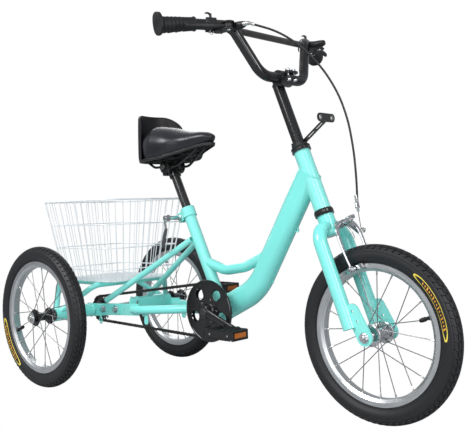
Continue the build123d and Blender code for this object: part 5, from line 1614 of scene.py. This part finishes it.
# ------------------------------------------------------------------ brake
@dataclass
class Brake:
    """A bright side-pull brake over the front wheel."""

    pivot: float = -40
    right_ahead: float = 40.5
    left_ahead: float = 50.5
    shoe_ahead: float = 42
    shoe_up: float = -150

    def build(self, layout: Layout, palette: Palette) -> None:
        """Build both arms, the shoes, the spring and the cable's fittings."""
        self.arm(layout, palette, Side.RIGHT, self.right_ahead, [(0, -40), (14, -43), (30, -52), (47, -65)])
        self.arm(layout, palette, Side.LEFT, self.left_ahead, [(0, -40), (10, -34), (22, -30), (36, -28)])
        self.centre(layout, palette)
        for side in Side:
            self.shoe(layout, palette, side)
        self.cable_ends(layout, palette)

    def arm(
        self, layout: Layout, palette: Palette, side: Side, ahead: float, cable: list[tuple[float, float]]
    ) -> None:
        """One forged arm: down past the tyre to its shoe, and out to the cable.

        Args:
            layout: the machine's places.
            palette: the finishes.
            side: the shoe's side.
            ahead: distance ahead of the steering axis.
            cable: side and height of each place on the way to the cable.
        """
        sign = side.value
        lower = [(0, -40), (sign * 16, -42), (sign * 30, -52), (sign * 37, -72), (sign * 37.5, -100),
                 (sign * 35, -126), (sign * 31, -150), (sign * 30, -156)]
        form = Form()
        path = smooth([layout.steer(ahead, s, u) for s, u in lower], 6)
        form.sweep(path, [5.6, 6.2, 6.2, 5.8, 5.2, 5.0, 5.6, 4.8], [3.2, 3.3, 3.2, 3.0, 2.8, 2.8, 3.2, 2.6],
                   14,
                   layout.head_ahead)
        path = smooth([layout.steer(ahead, s, u) for s, u in cable], 6)
        form.sweep(path, [5.6, 5.0, 4.6, 4.8], [3.2, 3.0, 2.8, 3.0], 14, layout.head_ahead)
        boss = layout.steer(ahead, 0, self.pivot)
        form.turn(boss, layout.head_ahead,
                  [(4.1, -3.4), (8.0, -3.4), (8.8, -2.6), (8.8, 2.6), (8.0, 3.4), (4.1, 3.4)],
                  28, True)
        foot = layout.steer(ahead, sign * 31, self.shoe_up)
        form.turn(foot, Vector((0, 1, 0)), [(2.6, -4.4), (7.4, -4.4), (8.0, -3.6), (8.0, 3.6), (7.4, 4.4),
                                           (2.6, 4.4)], 24, True)
        name = side.name.lower()
        form.piece(f"brake_arm_{name}_forged", palette["bright_chrome"], f"caliper_{name}", Slot.CHROME,
                   [f"caliper_arm_{name}"])

    def centre(self, layout: Layout, palette: Palette) -> None:
        """The centre bolt with its nuts and washers, and the wire return spring."""
        form = Form()
        axis = layout.head_ahead
        base = layout.steer(0, 0, self.pivot)
        form.turn(base + axis * 0.0205, axis, [(9, 0), (9, 2), (7.4, 3), (7.4, 8), (8.6, 9), (8.6, 14)], 24)
        form.hexagon(base + axis * 0.0555, axis, 7.2, 4.6)
        form.hexagon(base + axis * 0.0606, axis, 6.6, 4.2)
        form.turn(base + axis * 0.0640, axis, [(4.0, 0), (4.0, 3.5), (2.5, 5)], 16)
        form.turn(base + axis * 0.0545, axis, [(8.4, 0), (8.4, 1.0)], 24)
        spring = []
        for i in range(13):
            t = i / 12 * 2 - 1
            across = 33.5 * math.sin(t * math.pi / 2)
            drop = -47 - 34 * abs(t) ** 2.4
            spring.append(layout.steer(34.0, across, drop + 4))
        form.sweep(smooth(spring, 4), 1.0, sides=8)
        form.piece("brake_centre_bolt", palette["zinc_steel"], "steering", Slot.CHROME, )

    def shoe(self, layout: Layout, palette: Palette, side: Side) -> None:
        """A rubber shoe in a bright holder, with its stud, washer and nut."""
        sign, name = side.value, side.name.lower()
        ahead, up, out = layout.head_ahead, layout.head_up, Vector((0, sign, 0))
        middle = layout.steer(self.shoe_ahead, 0, self.shoe_up)
        rubber, holder = Form(), Form()
        outline = rounded(22, 5, 1.6)
        start = middle + out * 16.0 * MM
        x_dir, y_dir = (ahead, up) if sign < 0 else (up, ahead)
        pad = outline if sign < 0 else rounded(5, 22, 1.6)
        rubber.slab(pad, start, x_dir, y_dir, -5.2 if x_dir.cross(y_dir).dot(out) < 0 else 5.2, 0.8)
        cover = rounded(23, 6, 2) if sign < 0 else rounded(6, 23, 2)
        shell = middle + out * 20.4 * MM
        holder.slab(cover, shell, x_dir, y_dir, -3.6 if x_dir.cross(y_dir).dot(out) < 0 else 3.6, 0.9)
        for end in (-1, 1):
            lip = middle + ahead * end * 0.0222 + out * 19.4 * MM
            holder.sweep([lip - up * 0.005, lip + up * 0.005], 1.3, 3.4, 8, out)
        arm = self.right_ahead if side is Side.RIGHT else self.left_ahead
        stud = layout.steer(arm, 0, self.shoe_up)
        holder.turn(stud, out, [(3.0, 22), (3.0, 43)], 14)
        holder.turn(stud, out, [(7.4, 35.2), (7.4, 36.4)], 22)
        holder.hexagon(stud + out * 36.4 * MM, out, 6.4, 4.8)
        rubber.piece(f"shoe_{name}_block", palette["brake_rubber"], f"caliper_{name}", Slot.RUBBER,
                     [f"brake_shoe_{name}"])
        holder.piece(f"shoe_{name}_holder", palette["bright_chrome"], f"caliper_{name}", Slot.CHROME)

    def cable_ends(self, layout: Layout, palette: Palette) -> None:
        """The barrel adjuster, the anchor nut, the ferrules and the trimmed wire end."""
        up = Vector((0, 0, 1))
        barrel, anchor = layout.at(885, 35, 482), layout.at(886, 46, 427)
        down = (anchor - barrel).normalized()
        left_form, right_form, fixed = Form(), Form(), Form()
        ribs = [(5.2 if i % 2 else 4.6, 4 + i * 1.1) for i in range(8)]
        left_form.turn(barrel, -down,
                       [(3.2, -10), (3.2, -2), (5.4, -1.6), (5.4, 3), *ribs, (3.4, 13), (3.2, 17)], 18)
        left_form.piece("barrel_adjuster", palette["bright_chrome"], "caliper_left", Slot.CHROME)
        axis = layout.head_ahead
        right_form.turn(anchor - axis * 0.006, axis, [(5.8, 0), (5.8, 3.4), (4.2, 4)], 18)
        right_form.hexagon(anchor + axis * 0.003, axis, 6.4, 5.0)
        right_form.turn(anchor + axis * 0.008, axis, [(3.0, 0), (3.0, 3.4), (2.2, 4)], 12)
        tail = [anchor, anchor + down * 0.014, anchor + down * 0.026 + Vector((0.004, 0.004, 0)),
                anchor + down * 0.034 + Vector((0.010, 0.010, 0))]
        right_form.sweep(smooth(tail, 5), 0.8, sides=8)
        right_form.turn(tail[-1], (tail[-1] - tail[-2]).normalized(), [(1.3, -3), (1.3, 3), (0.8, 3.6)], 8)
        right_form.piece("cable_anchor", palette["zinc_steel"], "caliper_right", Slot.CHROME)
        first = layout.at(734, -150, 906)
        away = (layout.at(776, -96, 887) - first).normalized()
        nose = layout.at(716, -152, 906)
        fixed.turn(nose, (first - nose).normalized(),
                   [(5.4, 2), (5.6, 4), (5.4, 9), (4.2, 10), (4.0, 17), (3.4, 19)], 20)
        fixed.turn(first, away, [(3.4, 0), (3.5, 1), (3.5, 11), (2.8, 13)], 16)
        fixed.turn(barrel - down * 0.016, -down, [(3.5, 0), (3.5, 11), (2.8, 13)], 16)
        fixed.piece("cable_ferrules", palette["zinc_steel"], "steering", Slot.CHROME)


# ------------------------------------------------------------------ small fittings
@dataclass
class Fittings:
    """Tabs, washers, caps and the seat's quick-release lever."""

    def build(self, layout: Layout, palette: Palette) -> None:
        """Build every small fitting."""
        self.tabs(layout, palette)
        self.quick_release(layout, palette)
        self.axle_ends(layout, palette)
        self.welds(layout, palette)

    def tabs(self, layout: Layout, palette: Palette) -> None:
        """Hanging eyelets and drilled tabs on the axle plates and chainstays."""
        form = Form()
        ahead, up = Vector((1, 0, 0)), Vector((0, 0, 1))
        for side in Side:
            plane = side.value * 82.0
            eye = layout.at(40, plane, 170)
            loop = [eye + Vector((math.cos(t) * 0.006, 0, math.sin(t) * 0.0085)) for t in
                    (TURN * i / 20 for i in range(20))]
            form.sweep(loop, 2.0, sides=10, up=Vector((0, 1, 0)), closed=True)
            form.sweep([layout.at(40, plane, 177), layout.at(40, plane, 188)], 3.2, 2.2, 8,
                       Vector((0, 1, 0)))
            stay = layout.at(240, side.value * 71, 196)
            form.slab(link(16, 6, 8, 1.0, 8), stay, -up, ahead, 3.0, 0.6)
        form.piece("frame_tabs", palette["mint_enamel"], "frame", Slot.MINT)
        washers = Form()
        for side in Side:
            axis = Vector((0, side.value, 0))
            for forward, height in ((57, 205), (116, 209)):
                face = layout.at(forward, side.value * 85.0, height)
                washers.turn(face, axis, [(4.2, 0), (11.0, 0), (11.2, 0.3), (11.0, 1.4), (4.2, 1.4)], 28,
                             True)
                washers.turn(face + axis * 6.9 * MM, axis, [(6.6, 0), (6.2, 0.8), (2.0, 1.5)], 24)
        washers.piece("plate_washers", palette["bright_chrome"], "frame", Slot.CHROME)

    def quick_release(self, layout: Layout, palette: Palette) -> None:
        """The seat clamp's lever: a bright cam barrel, a bent link and a dark handle."""
        pivot = layout.pivot("quick_release")
        bright, dark = Form(), Form()
        axis = Vector((1, 0, 0))
        bright.turn(pivot, axis, [(4, -7), (8.4, -7), (9.2, -6), (9.2, 6), (8.4, 7), (4, 7)], 28)
        link_path = [pivot + Vector(v) * MM for v in ((0, -3, -2), (-1, -6, -12), (-3, -3, -22),
                                                      (-5, 0, -32))]
        bright.sweep(smooth(link_path, 6), [5.2, 4.6, 4.2, 4.6], [2.8, 2.4, 2.4, 3.0], 12,
                     Vector((0, 1, 0)))
        bright.piece("quick_release_link", palette["bright_chrome"], "quick_release", Slot.CHROME,
                     ["quick_release_lever"])
        handle = [pivot + Vector(v) * MM for v in ((-4, 0, -28), (-8, -1.5, -44), (-13, -2.5, -62),
                                                   (-17.5, -2, -81))]
        dark.sweep(smooth(handle, 6), [4.4, 5.6, 6.6, 7.2, 5.2], [4.0, 4.4, 4.0, 3.4, 2.2], 16,
                   Vector((0, 1, 0)))
        for i in range(5):
            place = handle[1].lerp(handle[3], 0.15 + i * 0.16)
            dark.sweep([place + Vector((-0.005, -0.0036, 0)), place + Vector((0.005, -0.0036, 0))], 0.9,
                       0.9, 6)
        dark.piece("quick_release_handle", palette["grey_grip"], "quick_release", Slot.PLASTIC)
        collar = Form()
        skewer = pivot.copy()
        for near, far in ((-12.5, -9.4), (9.4, 12.5)):
            start = Vector((skewer.x, 0, skewer.z))
            collar.turn(start, Vector((0, 1, 0)), [(3.2, near), (8.6, near), (8.6, far), (3.2, far)], 24,
                        True)
        collar.turn(Vector((skewer.x, 0, skewer.z)), Vector((0, 1, 0)), [(4.4, 16.8), (4.4, 21), (3.4, 22)],
                    14)
        collar.piece("collar_washers", palette["zinc_steel"], "frame", Slot.CHROME)

    def axle_ends(self, layout: Layout, palette: Palette) -> None:
        """Bright cones, washers and nuts on the axles."""
        for side, body in ((Side.RIGHT, "rear_wheel_right"), (Side.LEFT, "rear_wheel_left")):
            form = Form()
            centre = layout.rear
            axis = Vector((0, side.value, 0))
            form.turn(centre, axis,
                      [(7.7, 288.6), (15.0, 288.6), (15.4, 289.2), (15.4, 290.4), (13, 291), (12, 292.6),
                                     (7.7, 292.6)], 28, True)
            form.piece(f"hub_washer_{side.name.lower()}", palette["bright_chrome"], body, Slot.CHROME)
        front, axle = Form(), layout.front
        for side in Side:
            axis = Vector((0, side.value, 0))
            front.turn(axle, axis, [(5.1, 54.6), (11.5, 54.6), (11.8, 55.0), (11.8, 56.0), (5.1, 56.0)], 28,
                       True)
            front.hexagon(axle + axis * 55.8 * MM, axis, 9.4, 6.4)
            front.turn(axle + axis * 62 * MM, axis, [(5.0, 0), (5.0, 3.2), (4.2, 4.0)], 18)
            front.turn(axle, axis, [(5.1, 31), (10.5, 31), (11.5, 34), (9.5, 36), (9.5, 46), (8.2, 49.2),
                                    (5.1, 49.2)], 28, True)
        front.piece("front_axle_nuts", palette["bright_chrome"], "steering", Slot.CHROME)

    def welds(self, layout: Layout, palette: Palette) -> None:
        """Low beads where round tubes meet, laid as rings about the smaller tube."""
        form = Form()
        for side in Side:
            across = side.value
            form.turn(layout.at(214, across * 79.2, 212.6), Vector((1, 0, 0)),
                      [(12.0, -1.2), (13.1, 0), (12.0, 1.4)], 28)
            axis = Vector((0, across, 0))
            form.turn(layout.rear, axis, [(19.0, 88.4), (21.6, 88.8), (20.6, 90.6), (19.0, 92.2)], 40, True)
        form.piece("weld_beads", palette["mint_enamel"], "frame", Slot.MINT)


# ------------------------------------------------------------------ studio
@dataclass(frozen=True)
class Lamp:
    """A rectangular soft light aimed at a target, in metres and watts."""

    name: str
    place: tuple[float, float, float]
    wide: float
    tall: float
    power: float
    target: tuple[float, float, float]

    def build(self) -> None:
        """Hang the light."""
        data = bpy.data.lights.new(self.name, "AREA")
        data.shape = "RECTANGLE"
        data.size = self.wide
        data.size_y = self.tall
        data.energy = self.power
        light = bpy.data.objects.new(self.name, data)
        bpy.context.scene.collection.objects.link(light)
        light.location = self.place
        light.rotation_euler = (Vector(self.place) - Vector(self.target)).to_track_quat("Z", "Y").to_euler()


LAMPS = (
    Lamp("key", (-0.5, -2.7, 2.7), 1.8, 1.8, 95, (0.0, 0.0, 0.4)),
    Lamp("strip", (2.9, -0.4, 1.3), 0.5, 2.2, 30, (0.2, 0.0, 0.5)),
    Lamp("fill", (2.2, -2.6, 1.4), 2.0, 2.0, 26, (0.0, 0.0, 0.4)),
    Lamp("rear", (-2.6, 1.6, 1.9), 1.6, 1.4, 16, (0.0, 0.0, 0.4)),
)


@dataclass
class Studio:
    """Floor, lights and camera."""

    lens: float = 56.0
    position: tuple[float, float, float] = (1.3725, -1.3866, 0.4858)
    azimuth: float = 43.489
    elevation: float = 0.531
    roll: float = -1.937
    floor_reach: float = 40.0

    def build(self) -> None:
        """Set the stage."""
        self.camera()
        self.floor()
        self.world()
        for lamp in LAMPS:
            lamp.build()
        bpy.context.scene.view_settings.view_transform = "Standard"

    def camera(self) -> None:
        """A camera at eye level ahead of the rider's right."""
        data = bpy.data.cameras.new("camera")
        data.lens = self.lens
        camera = bpy.data.objects.new("camera", data)
        bpy.context.scene.collection.objects.link(camera)
        a, e, r = (math.radians(v) for v in (self.azimuth, self.elevation, self.roll))
        back = Vector((math.sin(a) * math.cos(e), -math.cos(a) * math.cos(e), math.sin(e)))
        right = Vector((math.cos(a), math.sin(a), 0))
        up = back.cross(right)
        rolled = right * math.cos(r) + up * math.sin(r)
        upright = up * math.cos(r) - right * math.sin(r)
        turn = Matrix((rolled, upright, back)).transposed().to_4x4()
        camera.matrix_world = Matrix.Translation(self.position) @ turn
        bpy.context.scene.camera = camera

    def floor(self) -> None:
        """A wide pale floor."""
        mesh = bpy.data.meshes.new("floor")
        reach = self.floor_reach
        mesh.from_pydata([(-reach, -reach, 0), (reach, -reach, 0), (reach, reach, 0), (-reach, reach, 0)],
                         [],
                         [(0, 1, 2, 3)])
        floor = bpy.data.objects.new("floor", mesh)
        bpy.context.scene.collection.objects.link(floor)
        material = bpy.data.materials.new("pale_floor")
        material.use_nodes = True
        tree = material.node_tree
        tree.nodes.clear()
        path, mix = add_node(tree, "LightPath"), add_node(tree, "MixShader")
        matt, bright = add_node(tree, "BsdfDiffuse"), add_node(tree, "Emission")
        matt.inputs["Color"].default_value = (0.42, 0.43, 0.44, 1)
        out = add_node(tree, "OutputMaterial")
        tree.links.new(path.outputs["Is Camera Ray"], mix.inputs[0])
        tree.links.new(matt.outputs[0], mix.inputs[1])
        tree.links.new(bright.outputs[0], mix.inputs[2])
        tree.links.new(mix.outputs[0], out.inputs[0])
        mesh.materials.append(material)

    def world(self) -> None:
        """White to the eye, and a softer grey in reflections."""
        world = bpy.data.worlds.new("studio")
        bpy.context.scene.world = world
        world.use_nodes = True
        tree = world.node_tree
        tree.nodes.clear()
        path = add_node(tree, "LightPath")
        seen, felt = add_node(tree, "Background"), add_node(tree, "Background")
        seen.inputs["Strength"].default_value = 1.0
        seen.inputs["Color"].default_value = (1, 1, 1, 1)
        felt.inputs["Color"].default_value = (0.93, 0.96, 1, 1)
        felt.inputs["Strength"].default_value = 0.42
        mix, out = add_node(tree, "MixShader"), add_node(tree, "OutputWorld")
        tree.links.new(path.outputs["Is Camera Ray"], mix.inputs[0])
        tree.links.new(felt.outputs[0], mix.inputs[1])
        tree.links.new(seen.outputs[0], mix.inputs[2])
        tree.links.new(mix.outputs[0], out.inputs[0])


def dress_packed(frame: dict, palette: Palette) -> None:
    """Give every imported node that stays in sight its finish."""
    palette.dress(frame, "mint_enamel", "head_tube", "main_tube", "seat_tube", "cross_tube",
                  "bottom_bracket_shell",
                  "chainstays", "seatstays", "axle_plates", "axle_housings", "rack", "fork_crown",
                  "fork_legs",
                  "seat_collar")
    palette.dress(frame, "black_enamel", "stem", "handlebar", "headset_cups", "headset_nuts", "seat_post",
                  "accessory_bracket", "saddle_clamp_and_rails")
    palette.dress(frame, "ring_enamel", "chainring")
    palette.dress(frame, "bright_chrome", "front_axle", "frame_bolts", "steering_bolts")
    palette.dress(frame, "dark_steel", "bearings", "rear_sprocket", "crank_axles")
    palette.dress(frame, "zinc_steel", "rear_axle")
    palette.dress(frame, "cable_sheath", "brake_cable")
    palette.dress(frame, "amber_prism", "reflectors_right", "reflectors_left")
    for wheel in ("front", "rear_right", "rear_left"):
        palette.dress(frame, f"brushed_rim_{wheel}", f"{wheel}_rim")
        palette.dress(frame, "spoke_steel", f"{wheel}_spokes")


def wheels(layout: Layout) -> list[Wheel]:
    """The three wheels of the machine."""
    rear_ends, rear_flanges = (-33, 33), (-23, 23)
    low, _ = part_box("rear_right_hub")
    _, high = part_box("rear_left_hub")
    right = Vector((layout.rear.x, low.y + 33 * MM, layout.rear.z))
    left = Vector((layout.rear.x, high.y - 33 * MM, layout.rear.z))
    return [
        Wheel("front", "front_wheel", layout.front, -1, 20, 27, 15, (-27, 27), (-30, 30), "bright_chrome",
              Slot.CHROME,
              5.05),
        Wheel("rear_right", "rear_wheel_right", right, -1, 200, 211, 13, rear_flanges, rear_ends,
              "black_enamel",
              Slot.BLACK, 7.55),
        Wheel("rear_left", "rear_wheel_left", left, 1, 110, 95, 13, rear_flanges, rear_ends, "black_enamel",
              Slot.BLACK, 7.55),
    ]


def main() -> None:
    """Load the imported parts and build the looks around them."""
    logging.basicConfig(level=logging.INFO, format="%(message)s")
    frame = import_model()
    layout = Layout(frame)
    palette = Palette(layout)
    dress_packed(frame, palette)
    for wheel in wheels(layout):
        wheel.build(palette)
    Basket().build(layout, palette)
    ChainDrive().build(layout, palette)
    Saddle().build(layout, palette)
    Controls().build(layout, palette)
    Brake().build(layout, palette)
    Fittings().build(layout, palette)
    Studio().build()


if __name__ == "__main__":
    main()
